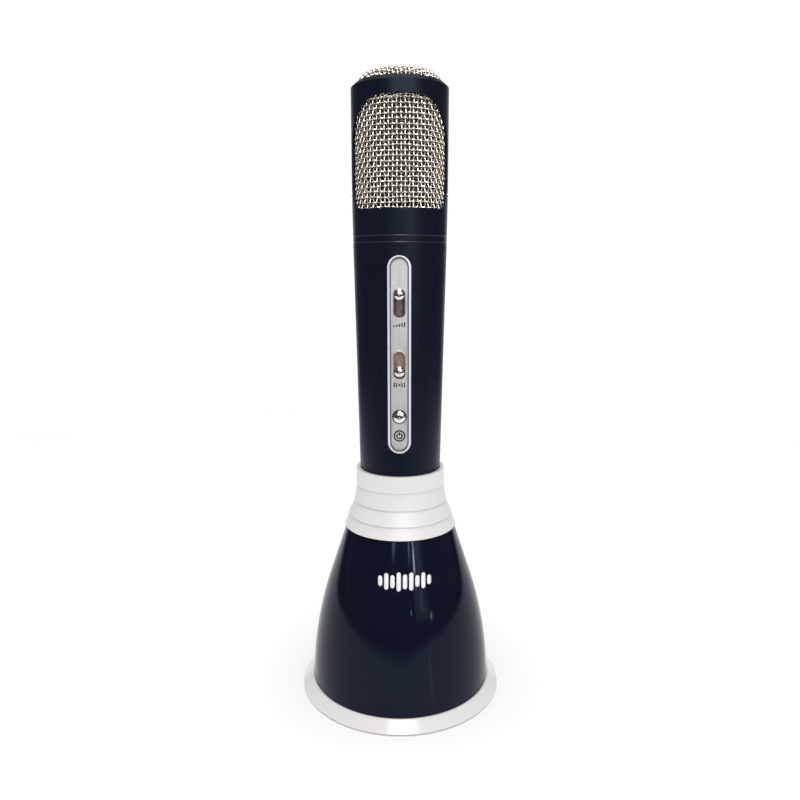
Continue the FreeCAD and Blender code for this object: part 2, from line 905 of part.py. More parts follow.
def joint_ring():
    """Coupling with a narrow visible band between two fine grooves."""
    d = dims
    edge = d.ring_edge
    return turned(
        "joint_ring",
        Outline(
            (d.coupling_bore, d.coupling_foot_z), (d.coupling_low_radius, d.coupling_foot_z),
            (d.coupling_low_radius, d.ring_foot_z), (d.ring_radius - edge, d.ring_foot_z),
            (d.ring_radius, d.ring_foot_z + edge), (d.ring_radius, d.ring_top_z - edge),
            (d.ring_radius - edge, d.ring_top_z), (d.coupling_high_radius, d.ring_top_z),
            (d.coupling_high_radius, d.hem_foot_z), (d.coupling_bore, d.hem_foot_z),
        ),
    )


# ---- Handle and control strip ------------------------------------------------------------


def strip_slot(half_width):
    """All the outlines of the strip share the centres of its round ends."""
    d = dims
    end = d.strip_half_length - d.strip_half_width
    return Slot(-end, end, half_width)


def port_slot(half_width):
    d = dims
    end = d.port_half_length - d.port_half_width
    return Slot(-end, end, half_width)


def handle_tube():
    """Conical tube, open for the control strip in front and for the port plate behind."""
    d = dims
    top = d.tube_top_radius
    foot = tube_radius_at(d.tube_foot_z)
    edge = d.ring_edge
    body = turned(
        "handle_tube",
        Outline(
            (foot - d.tube_wall, d.tube_foot_z), (foot, d.tube_foot_z),
            (tube_radius_at(d.tube_top_z - edge), d.tube_top_z - edge), (top - edge, d.tube_top_z),
            (top - d.tube_wall, d.tube_top_z),
        ),
    )
    sunk(body, [strip_slot(d.strip_half_width + d.strip_gap)], FAR, FAR, skin_place(d.strip_mid_z))
    sunk(body, [port_slot(d.port_half_width + d.port_gap)], FAR, FAR, skin_place(d.port_mid_z, 180))
    return body


def strip_bezel():
    """Bright rim of the strip: round in front like the tube, sloping down to the panel,
    and rebated behind to hold the panel."""
    d = dims
    skin = tube_radius_at(d.strip_mid_z)
    face = skin + d.bezel_proud
    panel_front = skin - d.panel_sink
    back = panel_front - d.panel_thickness
    slope_foot = panel_front + d.bezel_lip
    front = face + d.bezel_spare
    widening = (d.strip_half_width - d.bezel_land - d.bezel_inner_half) / (face - slope_foot)
    body = plate("strip_bezel", [strip_slot(d.strip_half_width)], back, front)
    trim_round(body, face)
    sunk(body, [strip_slot(d.bezel_inner_half)], front, front - back)
    rebate = draw(body, "XZ_Plane", [strip_slot(d.panel_half_width + d.strip_gap)], panel_front)
    add(body, "Pocket", rebate, Length=panel_front - back)
    low = draw(body, "XZ_Plane", [strip_slot(d.bezel_inner_half)], slope_foot)
    wide = d.bezel_inner_half + (front - slope_foot) * widening
    high = draw(body, "XZ_Plane", [strip_slot(wide)], front)
    add(body, "SubtractiveLoft", low, Sections=[high])
    body.Placement = skin_place(d.strip_mid_z)
    return body


def control_panel():
    """Satin plate with two slider slots and the button hole."""
    d = dims
    front = tube_radius_at(d.strip_mid_z) - d.panel_sink
    body = plate("control_panel", [strip_slot(d.panel_half_width)], front - d.panel_thickness, front)
    half = d.slider_travel / 2
    holes = [Slot(middle - half, middle + half, d.slot_half_width) for middle in (d.volume_mid, d.echo_mid)]
    holes.append(Disc(0, d.button_height, d.button_hole_radius))
    for hole in holes:
        sunk(body, [hole], front, d.panel_thickness)
    body.Placement = skin_place(d.strip_mid_z)
    return body


def board_front():
    return dims.board_back + dims.board_thickness


def slide_case(label, middle):
    """Open steel trough of a slide potentiometer, soldered to the board."""
    d = dims
    front = board_front() + d.case_depth
    wide, tall = d.case_half_width, d.case_half_height
    body = plate(label, [rectangle(-wide, middle - tall, wide, middle + tall)], board_front(), front)
    inner = rectangle(
        -wide + d.case_wall, middle - tall + d.case_wall, wide - d.case_wall, middle + tall - d.case_wall
    )
    sunk(body, [inner], front, d.case_depth - d.case_wall)
    body.Placement = skin_place(d.strip_mid_z)
    return body


def slide_wafer(label, middle):
    """Brown laminate that closes the trough, slit for the lever."""
    d = dims
    back = board_front() + d.case_depth
    front = back + d.wafer_thickness
    wide, tall = d.case_half_width, d.case_half_height
    body = plate(label, [rectangle(-wide, middle - tall, wide, middle + tall)], back, front)
    slit_wide = d.lever_half_width + d.slit_gap
    slit_tall = d.slider_travel / 2 + d.lever_half_height + d.slit_gap
    slit = rectangle(-slit_wide, middle - slit_tall, slit_wide, middle + slit_tall)
    sunk(body, [slit], front, front - back)
    body.Placement = skin_place(d.strip_mid_z)
    return body


def wafer_front():
    return board_front() + dims.case_depth + dims.wafer_thickness


def slide_lever(label, height):
    """Flat lever that carries the knob through the slit."""
    d = dims
    front = wafer_front() + d.knob_gap
    wide, tall = d.lever_half_width, d.lever_half_height
    body = plate(label, [rectangle(-wide, height - tall, wide, height + tall)], front - d.lever_reach, front)
    body.Placement = skin_place(d.strip_mid_z)
    return body


def domed_button(label, height, radius, back, straight, dome):
    """A short round button with a domed face, facing the front at one height of the strip."""
    d = dims
    shoulder = back + straight
    body = new_body(label)
    curve = touching_arc(radius, dome)
    profile = Outline((0, back), (radius, back), (radius, shoulder, curve), (0, shoulder + dome))
    add(body, "Revolution", draw(body, "XZ_Plane", [profile]), Angle=TURN)
    forward = Rotation(Vector(1, 0, 0), 90)
    body.Placement = skin_place(d.strip_mid_z) * Placement(Vector(0, 0, number(height)), forward)
    return body


def slide_knob(label, height):
    d = dims
    foot = wafer_front() + d.knob_gap
    return domed_button(label, height, d.knob_radius, foot, d.knob_straight, d.knob_dome)


def button_back():
    d = dims
    panel_back = tube_radius_at(d.strip_mid_z) - d.panel_sink - d.panel_thickness
    return panel_back - d.button_flange_gap - d.button_flange_thickness


def power_button():
    """Domed cap with a flange behind the panel that keeps it from falling out."""
    d = dims
    straight = d.button_straight + d.button_flange_thickness
    back = button_back()
    body = domed_button("power_button", d.button_height, d.button_radius, back, straight, d.button_dome)
    flange = draw(body, "XY_Plane", [Disc(0, 0, d.button_flange_radius)], button_back())
    add(body, "Pad", flange, Length=d.button_flange_thickness)
    return body


def power_switch():
    """Push switch under the button, with a blind bore for its plunger."""
    d = dims
    front = board_front() + d.switch_height
    half = d.switch_half_width
    square = rectangle(-half, d.button_height - half, half, d.button_height + half)
    body = plate("power_switch", [square], board_front(), front)
    sunk(body, [Disc(0, d.button_height, d.switch_bore_radius)], front, d.switch_bore_depth)
    body.Placement = skin_place(d.strip_mid_z)
    return body


def switch_plunger():
    d = dims
    back = board_front() + d.switch_height - d.plunger_inset
    body = plate("switch_plunger", [Disc(0, d.button_height, d.plunger_radius)], back, button_back())
    body.Placement = skin_place(d.strip_mid_z)
    return body


# ---- Inside the handle -------------------------------------------------------------------


def board_screw_spots():
    d = dims
    heights = (d.board_screw_low, d.board_screw_high)
    return [(side * d.board_screw_side, height) for side in (-1, 1) for height in heights]


def main_board():
    d = dims
    sheet = rectangle(-d.board_half_width, d.board_low, d.board_half_width, d.board_high)
    body = plate("main_board", [sheet], d.board_back, board_front())
    holes = [Disc(x, height, d.screw_bore) for x, height in board_screw_spots()]
    sunk(body, holes, board_front(), d.board_thickness)
    body.Placement = skin_place(d.strip_mid_z)
    return body


def board_screws():
    d = dims
    forward = Rotation(Vector(1, 0, 0), 90)
    places = []
    for x, height in board_screw_spots():
        spot = Vector(number(x), -number(board_front()), number(height))
        places.append(skin_place(d.strip_mid_z) * Placement(spot, forward))
    return screws("board_screws", places, length=d.board_thickness + d.board_screw_bite)


def radio_module():
    """Shielded radio module beside the sliders."""
    d = dims
    can = rectangle(d.radio_left, d.radio_low, d.radio_left + d.radio_width, d.radio_low + d.radio_length)
    body = plate("radio_module", [can], board_front(), board_front() + d.radio_height)
    body.Placement = skin_place(d.strip_mid_z)
    return body


def signal_chips():
    """The echo chip and the amplifier chip."""
    d = dims
    chips = []
    for name, low in (("echo_chip", d.echo_chip_low), ("amplifier_chip", d.amplifier_chip_low)):
        outline = rectangle(d.chip_left, low, d.chip_left + d.chip_width, low + d.chip_length)
        chip = plate(name, [outline], board_front(), board_front() + d.chip_height)
        chip.Placement = skin_place(d.strip_mid_z)
        chips.append(chip)
    return compound("signal_chips", chips)


def capacitors():
    """Round capacitors, two each side of the switch."""
    d = dims
    cans = []
    for side in (-1, 1):
        for step in range(int(number(d.cans_per_side))):
            spot = Disc(side * d.can_side, d.can_low + step * d.can_step, d.can_radius)
            can = plate("capacitor", [spot], board_front(), board_front() + d.can_height)
            can.Placement = skin_place(d.strip_mid_z)
            cans.append(can)
    return compound("capacitors", cans)


def inner_chassis():
    """Plate between board and battery, with cradle ribs behind and screw posts in front."""
    d = dims
    front = d.chassis_back + d.chassis_thickness
    sheet = rectangle(-d.rib_half_width, d.chassis_low, d.rib_half_width, d.chassis_high)
    body = plate("inner_chassis", [sheet], d.chassis_back, front)
    spots = board_screw_spots()
    for x, height in spots:
        grown(body, [Disc(x, height, d.chassis_post_radius)], front, d.board_back)
    sunk(body, [Disc(x, height, d.screw_bore) for x, height in spots], d.board_back, d.chassis_post_bore)
    step = d.rib_span / (number(d.chassis_ribs) - 1)
    for index in range(int(number(d.chassis_ribs))):
        for side in (-1, 1):
            add_rib_cheek(body, side, d.rib_low + index * step)
    body.Placement = skin_place(d.strip_mid_z)
    return body


def add_rib_cheek(body, side, height):
    """One side of a cradle rib; its inner edge follows the round of the battery."""
    d = dims
    seat = d.cell_radius + d.cell_seat_gap
    near = -d.chassis_back
    far = d.rib_reach
    foot = math.sqrt(number(seat) ** 2 - (number(d.cell_offset) + number(d.chassis_back)) ** 2)
    inner = Outline(
        (side * d.rib_half_width, near), (side * d.rib_half_width, far), (side * seat, far, -side * seat),
        (side * foot, near),
    )
    add(body, "Pad", draw(body, "XY_Plane", [inner], height - d.rib_thickness / 2), Length=d.rib_thickness)


def battery_cell():
    d = dims
    body = turned(
        "battery_cell",
        Outline(
            (0, 0), (d.cell_radius, 0), (d.cell_radius, d.cell_length - d.cell_edge),
            (d.cell_radius - d.cell_edge, d.cell_length), (0, d.cell_length),
        ),
    )
    spot = Vector(0, number(d.cell_offset), number(d.cell_low))
    body.Placement = skin_place(d.strip_mid_z) * Placement(spot, Rotation())
    return body


def battery_tabs():
    """A nickel strip welded on each end of the cell."""
    d = dims
    tabs = []
    half = d.tab_width / 2
    for low in (d.cell_low - d.tab_thickness, d.cell_low + d.cell_length):
        tab = new_body("battery_tab")
        strip = rectangle(-half, d.cell_offset - d.cell_radius + d.tab_inset, half, d.cell_offset + half)
        add(tab, "Pad", draw(tab, "XY_Plane", [strip], low), Length=d.tab_thickness)
        tab.Placement = skin_place(d.strip_mid_z)
        tabs.append(tab)
    return compound("battery_tabs", tabs)


# ---- Rear ports --------------------------------------------------------------------------


def port_plate():
    """Plate that follows the round of the handle, with openings for the two sockets and
    the charge light, and two posts that carry the port board."""
    d = dims
    face = tube_radius_at(d.port_mid_z) + d.port_proud
    body = plate("port_plate", [port_slot(d.port_half_width)], d.port_back, face + CUT_SPARE)
    trim_round(body, face)
    usb_wide = d.usb_half_width + d.usb_hole_gap
    usb_tall = d.usb_half_height + d.usb_hole_gap
    holes = [
        Disc(0, d.jack_height, d.jack_nose_hole), Disc(0, d.light_height, d.light_hole_radius),
        rectangle(-usb_wide, d.usb_height - usb_tall, usb_wide, d.usb_height + usb_tall),
    ]
    sunk(body, holes, face + CUT_SPARE, face + CUT_SPARE - d.port_back)
    board_face = d.port_board_back + d.board_thickness
    for side in (-1, 1):
        post = Disc(side * d.port_post_side, d.port_post_height, d.port_post_radius)
        grown(body, [post], board_face, d.port_back + d.port_post_root)
    body.Placement = skin_place(d.port_mid_z, 180)
    return body


def port_board():
    d = dims
    wide, tall = d.port_board_half_width, d.port_board_half_height
    back = d.port_board_back
    body = plate("port_board", [rectangle(-wide, -tall, wide, tall)], back, back + d.board_thickness)
    body.Placement = skin_place(d.port_mid_z, 180)
    return body


def aux_jack():
    """3.5 mm socket: square body, round nose and a blind bore."""
    d = dims
    back = d.port_board_back + d.board_thickness
    half = d.jack_half_width
    square = rectangle(-half, d.jack_height - half, half, d.jack_height + half)
    body = plate("aux_jack", [square], back, d.jack_shoulder)
    grown(body, [Disc(0, d.jack_height, d.jack_nose_radius)], d.jack_shoulder, d.jack_face)
    bore = [Disc(0, d.jack_height, d.jack_bore_radius)]
    sunk(body, bore, d.jack_face, d.jack_face - d.jack_bore_floor)
    body.Placement = skin_place(d.port_mid_z, 180)
    return body


def usb_socket():
    """Charging socket: a thin metal sleeve with a tongue, on a taller base."""
    d = dims
    back = d.port_board_back + d.board_thickness
    middle = d.usb_height

    def block(wide, tall):
        return rectangle(-wide, middle - tall, wide, middle + tall)

    body = plate("usb_socket", [block(d.usb_base_half_width, d.usb_base_half_height)], back, d.usb_base_front)
    grown(body, [block(d.usb_half_width, d.usb_half_height)], d.usb_base_front, d.usb_face)
    hollow = block(d.usb_half_width - d.usb_wall, d.usb_half_height - d.usb_wall)
    sunk(body, [hollow], d.usb_face, d.usb_face - d.usb_base_front - d.usb_floor)
    tongue = block(d.tongue_half_width, d.tongue_half_height)
    grown(body, [tongue], d.usb_base_front + d.tongue_root, d.tongue_front)
    body.Placement = skin_place(d.port_mid_z, 180)
    return body


def charge_light():
    """Clear light pipe from the board to the plate."""
    d = dims
    back = d.port_board_back + d.board_thickness
    straight = d.light_face - back
    body = domed_button("charge_light", 0, d.light_radius, back, straight, d.light_dome)
    forward = Placement(Vector(0, 0, number(d.light_height)), Rotation(Vector(1, 0, 0), 90))
    body.Placement = skin_place(d.port_mid_z, 180) * forward
    return body


# ---- Collar and bell -----------------------------------------------------------------------


def collar():
    """Four flared tiers outside; inside, a tapered seat for the tube above a ledge, and a
    wide bore for the neck of the bell."""
    d = dims
    over = d.tier_overhang
    under = d.tier_undercut
    seat_top = tube_radius_at(d.collar_top_z) + d.collar_fit
    seat_foot = tube_radius_at(d.collar_seat_z) + d.collar_fit
    neck = d.neck_radius + d.collar_fit
    tiers = (
        (d.tier_three_foot_z, d.tier_three_radius), (d.tier_two_foot_z, d.tier_two_radius),
        (d.tier_one_foot_z, d.tier_one_radius),
    )
    flank = []
    for foot, radius in tiers:
        flank += [(radius - over, foot - under), (radius - over, foot), (radius, foot)]
    body = turned(
        "collar",
        Outline(
            (neck, d.collar_foot_z), (d.collar_foot_radius, d.collar_foot_z), *flank,
            (d.collar_top_radius, d.collar_top_z), (seat_top, d.collar_top_z),
            (seat_foot, d.collar_seat_z), (d.collar_ledge_bore, d.collar_seat_z),
            (d.collar_ledge_bore, d.collar_ledge_z), (neck, d.collar_ledge_z),
        ),
    )
    holes = ring_discs(d.collar_screws, d.collar_screw_ring, d.screw_bore, 90)
    sketch = draw(body, "XY_Plane", holes, d.collar_ledge_z)
    add(body, "Pocket", sketch, Length=d.collar_screw_top_z - d.collar_ledge_z, Reversed=True)
    return body


def collar_screws():
    """Screws driven up from inside the bell."""
    d = dims
    flange_foot = d.neck_top_z - d.neck_flange
    places = ring_places(d.collar_screws, d.collar_screw_ring, flange_foot, 90, flip=True)
    return screws("collar_screws", places, length=d.collar_screw_top_z - flange_foot - d.screw_tip_gap)


def bell_shell():
    """Bell with a straight upper flank, a round lower flank and a flanged neck."""
    d = dims
    wall = d.bell_wall
    flange_foot = d.neck_top_z - d.neck_flange
    neck_bore = d.neck_radius - d.neck_wall
    body = turned(
        "bell_shell",
        Outline(
            (d.bell_foot_radius - wall, d.bell_foot_z),
            (d.bell_foot_radius, d.bell_foot_z, d.bell_flank_arc),
            (d.bell_bend_radius, d.bell_bend_z), (d.bell_top_radius, d.bell_top_z),
            (d.neck_radius, d.bell_top_z), (d.neck_radius, d.neck_top_z),
            (d.collar_ledge_bore, d.neck_top_z), (d.collar_ledge_bore, flange_foot),
            (neck_bore - d.neck_chamfer, flange_foot), (neck_bore, d.neck_root_z),
            (d.bell_top_radius - wall, d.neck_root_z),
            (d.bell_bend_radius - wall, d.bell_bend_z, -(d.bell_flank_arc - wall)),
        ),
    )
    holes = ring_discs(d.collar_screws, d.collar_screw_ring, d.screw_bore, 90)
    add(body, "Pocket", draw(body, "XY_Plane", holes, d.neck_top_z), Length=d.neck_flange)
    return body


# ---- Base ----------------------------------------------------------------------------------


def base_ring():
    """White flared ring with a spigot for the bell, a seat for the grille, and a groove
    below for the rubber foot."""
    d = dims
    body = turned(
        "base_ring",
        Outline(
            (d.base_opening_radius, d.ring_base_z), (d.ring_rim_radius - d.ring_rim_edge, d.ring_base_z),
            (d.ring_rim_radius, d.ring_rim_z), (d.base_ring_top_radius, d.base_ring_top_z),
            (d.spigot_radius, d.base_ring_top_z), (d.spigot_radius, d.spigot_top_z),
            (d.spigot_bore, d.spigot_top_z), (d.spigot_bore, d.grille_seat_z),
            (d.base_opening_radius, d.grille_seat_z),
        ),
    )
    groove = rectangle(d.foot_inner_radius, d.ring_base_z - CUT_SPARE, d.foot_outer_radius, d.foot_top_z)
    add(body, "Groove", draw(body, "XZ_Plane", [groove]), Angle=TURN)
    return body


def foot_ring():
    """Rubber ring that the whole object stands on."""
    d = dims
    edge = d.foot_edge
    return turned(
        "foot_ring",
        Outline(
            (d.foot_inner_radius + edge, 0), (d.foot_outer_radius - edge, 0), (d.foot_outer_radius, edge),
            (d.foot_outer_radius, d.foot_top_z), (d.foot_inner_radius, d.foot_top_z),
            (d.foot_inner_radius, edge),
        ),
    )


def speaker_grille():
    """Pierced disc under the loudspeaker, with rings of round holes."""
    d = dims
    body = turned(
        "speaker_grille", rectangle(0, d.grille_seat_z, d.grille_radius, d.grille_seat_z + d.grille_thickness)
    )
    top = d.grille_seat_z + d.grille_thickness
    holes = [Disc(0, 0, d.grille_hole_radius)]
    for ring in range(1, int(number(d.grille_rings)) + 1):
        count = ring * int(number(d.holes_per_ring_step))
        holes += ring_discs(count, ring * d.grille_hole_pitch, d.grille_hole_radius)
    add(body, "Pocket", draw(body, "XY_Plane", holes, top), Length=d.grille_thickness)
    return body


def speaker_levels():
    """Heights of the stack above the grille: baffle top, gasket top, flange top."""
    d = dims
    baffle_top = d.grille_seat_z + d.grille_thickness + d.baffle_thickness
    gasket_top = baffle_top + d.gasket_thickness
    return baffle_top, gasket_top, gasket_top + d.flange_thickness


def drill_for_speaker_screws(body, top, depth):
    d = dims
    holes = ring_discs(d.speaker_screws, d.speaker_screw_ring, d.screw_bore, 45)
    add(body, "Pocket", draw(body, "XY_Plane", holes, top), Length=depth)


def speaker_baffle():
    d = dims
    top = speaker_levels()[0]
    body = turned(
        "speaker_baffle", rectangle(d.baffle_bore, top - d.baffle_thickness, d.grille_radius, top)
    )
    drill_for_speaker_screws(body, top, d.baffle_thickness)
    return body


def speaker_gasket():
    d = dims
    low, high, _ = speaker_levels()
    body = turned("speaker_gasket", rectangle(d.gasket_bore, low, d.flange_radius, high))
    drill_for_speaker_screws(body, high, d.gasket_thickness)
    return body


def speaker_basket():
    """Pressed frame: flange, short wall, sloping wall with four windows, and a flat top."""
    d = dims
    _, low, high = speaker_levels()
    wall = d.basket_wall
    body = turned(
        "speaker_basket",
        Outline(
            (d.flange_bore + d.flange_step, low), (d.flange_radius, low), (d.flange_radius, high),
            (d.basket_wall_bore + wall, high), (d.basket_wall_bore + wall, d.basket_bend_z),
            (d.basket_top_radius, d.basket_top_z - d.basket_hub_height),
            (d.basket_top_radius, d.basket_top_z),
            (d.basket_seat_bore, d.basket_top_z), (d.basket_seat_bore, d.basket_top_z - wall),
            (d.basket_top_bore, d.basket_top_z - wall), (d.basket_top_bore, d.spider_z),
            (d.basket_top_bore + d.basket_spider_ledge, d.spider_z), (d.basket_wall_bore, d.basket_bend_z),
            (d.basket_wall_bore, high),
        ),
    )
    inner = d.basket_top_radius + d.basket_window_inset
    window = rectangle(inner, d.basket_window_low_z, FAR / 2, d.basket_window_high_z)
    cut = add(
        body, "Groove", draw(body, "XZ_Plane", [window]), Angle=d.basket_window_angle, Midplane=True
    )
    repeat(body, cut, d.basket_windows)
    drill_for_speaker_screws(body, high, d.flange_thickness)
    return body


def speaker_screws():
    d = dims
    low, _, high = speaker_levels()
    places = ring_places(d.speaker_screws, d.speaker_screw_ring, high, 45)
    return screws("speaker_screws", places, length=high - low + d.baffle_thickness - d.screw_tip_gap)


def speaker_top_plate():
    d = dims
    low = d.basket_top_z
    return turned(
        "speaker_top_plate",
        rectangle(d.top_plate_bore, low, d.top_plate_radius, low + d.top_plate_thickness),
    )


def speaker_magnet():
    d = dims
    low = d.basket_top_z + d.top_plate_thickness
    high = low + d.magnet_thickness
    edge = d.magnet_edge
    return turned(
        "speaker_magnet",
        Outline(
            (d.magnet_bore, low), (d.magnet_radius - edge, low), (d.magnet_radius, low + edge),
            (d.magnet_radius, high - edge), (d.magnet_radius - edge, high), (d.magnet_bore, high),
        ),
    )


def speaker_yoke():
    """Back plate with the pole that stands inside the voice coil."""
    d = dims
    low = d.basket_top_z + d.top_plate_thickness + d.magnet_thickness
    return turned(
        "speaker_yoke",
        Outline(
            (0, d.basket_top_z), (d.pole_radius, d.basket_top_z), (d.pole_radius, low),
            (d.yoke_radius, low), (d.yoke_radius, low + d.yoke_thickness), (0, low + d.yoke_thickness),
        ),
    )


def voice_coil():
    """Paper former with its winding in the magnet's gap."""
    d = dims
    outer = d.coil_bore + d.coil_wall
    wound = outer + d.coil_winding
    return turned(
        "voice_coil",
        Outline(
            (d.coil_bore, d.coil_low_z), (outer, d.coil_low_z), (outer, d.winding_low_z),
            (wound, d.winding_low_z), (wound, d.coil_high_z), (d.coil_bore, d.coil_high_z),
        ),
    )


def speaker_cone():
    """Paper cone from the former down to a flat edge."""
    d = dims
    wall = d.cone_wall
    neck = d.coil_bore + d.coil_wall
    edge = d.cone_edge_radius
    return turned(
        "speaker_cone",
        Outline(
            (neck, d.cone_neck_z), (edge - d.cone_lip_under, d.cone_edge_z), (edge, d.cone_edge_z),
            (edge, d.cone_edge_z + wall), (edge - d.cone_lip_over, d.cone_edge_z + wall),
            (neck, d.cone_neck_z + wall + d.cone_neck_spare),
        ),
    )


def dust_cap():
    """Shallow dome over the mouth of the voice coil."""
    d = dims
    radius = d.coil_bore + d.coil_wall
    rim = d.coil_low_z
    low = rim - d.cap_sag
    outer = touching_arc(radius, d.cap_sag)
    inner_sag = d.cap_sag - d.cap_wall + d.cap_thinning
    inner_radius = radius - d.cap_wall
    inner = touching_arc(inner_radius, inner_sag)
    return turned(
        "dust_cap",
        Outline(
            (0, low, outer), (radius, rim - d.glue_gap), (inner_radius, rim - d.glue_gap, -inner),
            (0, low + d.cap_wall),
        ),
    )


def speaker_surround():
    """Rubber half roll between the cone and the flange."""
    d = dims
    low, high, _ = speaker_levels()
    sheet = d.surround_thickness
    foot = high - sheet
    inner = d.cone_edge_radius + d.edge_gap
    outer_foot = d.surround_outer - d.surround_rim
    top = high - d.glue_gap
    mid = (inner + d.surround_lip / 2 + outer_foot) / 2
    half = outer_foot - mid
    rise = d.surround_rise
    bend = touching_arc(half, rise)
    thin_half = half - sheet
    thin_rise = rise - sheet
    thin = touching_arc(thin_half, thin_rise)
    return turned(
        "speaker_surround",
        Outline(
            (inner, foot), (mid - thin_half, foot, -thin), (mid + thin_half, foot),
            (d.surround_outer, foot), (d.surround_outer, top), (mid + half, top, bend),
            (mid - half, top), (inner, top),
        ),
    )


def spider():
    """Folded cloth disc that centres the voice coil."""
    d = dims
    inner = d.coil_bore + d.coil_wall + d.spider_fit
    low = d.spider_z
    span = d.spider_outer - inner
    folds = int(number(d.spider_folds))
    step = span / (2 * folds)
    under = []
    over = []
    for index in range(2 * folds + 1):
        height = low + (d.spider_fold if index % 2 else 0)
        under.append((inner + step * index, height))
        over.append((inner + step * index, height + d.spider_thickness))
    return turned("speaker_spider", Outline(*under, *reversed(over)))


# ---- Assembly --------------------------------------------------------------------------------


def build_all():
    d = dims
    return [
        head_frame(), mesh_grille(), hem_ring(), foam_windscreen(), capsule_carrier(), capsule_mount(),
        mic_capsule(), head_screws(), joint_ring(), handle_tube(), strip_bezel(), control_panel(),
        slide_case("volume_case", d.volume_mid), slide_wafer("volume_wafer", d.volume_mid),
        slide_lever("volume_lever", d.volume_rest), slide_knob("volume_knob", d.volume_rest),
        slide_case("echo_case", d.echo_mid), slide_wafer("echo_wafer", d.echo_mid),
        slide_lever("echo_lever", d.echo_rest), slide_knob("echo_knob", d.echo_rest),
        power_button(), power_switch(), switch_plunger(), main_board(), board_screws(),
        radio_module(), signal_chips(), capacitors(), inner_chassis(), battery_cell(), battery_tabs(),
        port_plate(), port_board(), aux_jack(), usb_socket(), charge_light(),
        collar(), collar_screws(), bell_shell(), base_ring(), foot_ring(), speaker_grille(),
        speaker_baffle(), speaker_gasket(), speaker_basket(), speaker_screws(), speaker_top_plate(),
        speaker_magnet(), speaker_yoke(), voice_coil(), speaker_cone(), dust_cap(),
        speaker_surround(), spider(),
    ]


def check_document():
    for thing in doc.Objects:
        if any(state in ("Invalid", "Error") for state in thing.State):
            raise RuntimeError(f"{thing.Label} is {thing.State}")


def write_parts(parts):
    for part in parts:
        if part.Shape.isNull() or not part.Shape.isValid() or not part.Shape.Solids:
            raise RuntimeError(f"{part.Label} has no sound solid")
    os.makedirs("parts", exist_ok=True)
    for part in parts:
        part.Shape.exportStep(f"parts/{part.Label}.step")
        print(f"{part.Label}: {len(part.Shape.Solids)} solid(s), {part.Shape.Volume:.1f} mm3")


dims = Sheet()
doc.recompute()
parts = build_all()
doc.recompute()
check_document()
write_parts(parts)
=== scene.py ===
import json
import math

import bpy
import numpy as np
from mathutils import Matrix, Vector
from mathutils.bvhtree import BVHTree


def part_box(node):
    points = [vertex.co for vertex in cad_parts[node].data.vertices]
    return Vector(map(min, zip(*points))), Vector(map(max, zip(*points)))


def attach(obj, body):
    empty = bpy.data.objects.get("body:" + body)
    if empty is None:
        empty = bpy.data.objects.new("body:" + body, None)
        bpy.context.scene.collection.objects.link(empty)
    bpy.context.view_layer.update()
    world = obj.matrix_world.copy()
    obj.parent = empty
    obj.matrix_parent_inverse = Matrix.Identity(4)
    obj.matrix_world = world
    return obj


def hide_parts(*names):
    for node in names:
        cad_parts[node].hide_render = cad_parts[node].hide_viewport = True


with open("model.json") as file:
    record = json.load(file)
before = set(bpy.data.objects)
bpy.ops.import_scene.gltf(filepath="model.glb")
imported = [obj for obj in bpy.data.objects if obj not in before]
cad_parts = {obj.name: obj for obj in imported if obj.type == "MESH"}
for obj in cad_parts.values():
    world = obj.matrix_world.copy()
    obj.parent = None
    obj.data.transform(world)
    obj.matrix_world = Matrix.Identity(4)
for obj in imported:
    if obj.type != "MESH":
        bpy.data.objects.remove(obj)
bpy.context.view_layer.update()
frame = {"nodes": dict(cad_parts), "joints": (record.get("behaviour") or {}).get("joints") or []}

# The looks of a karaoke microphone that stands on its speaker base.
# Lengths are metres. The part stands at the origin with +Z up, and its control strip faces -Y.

MM = 0.001
BODY = "microphone"
RIGHT = Vector((1, 0, 0))
SLIDE_AXIS = Vector(next(j["axis"] for j in frame["joints"] if j["name"] == "volume_slide"))


# ---------------------------------------------------------------- node materials

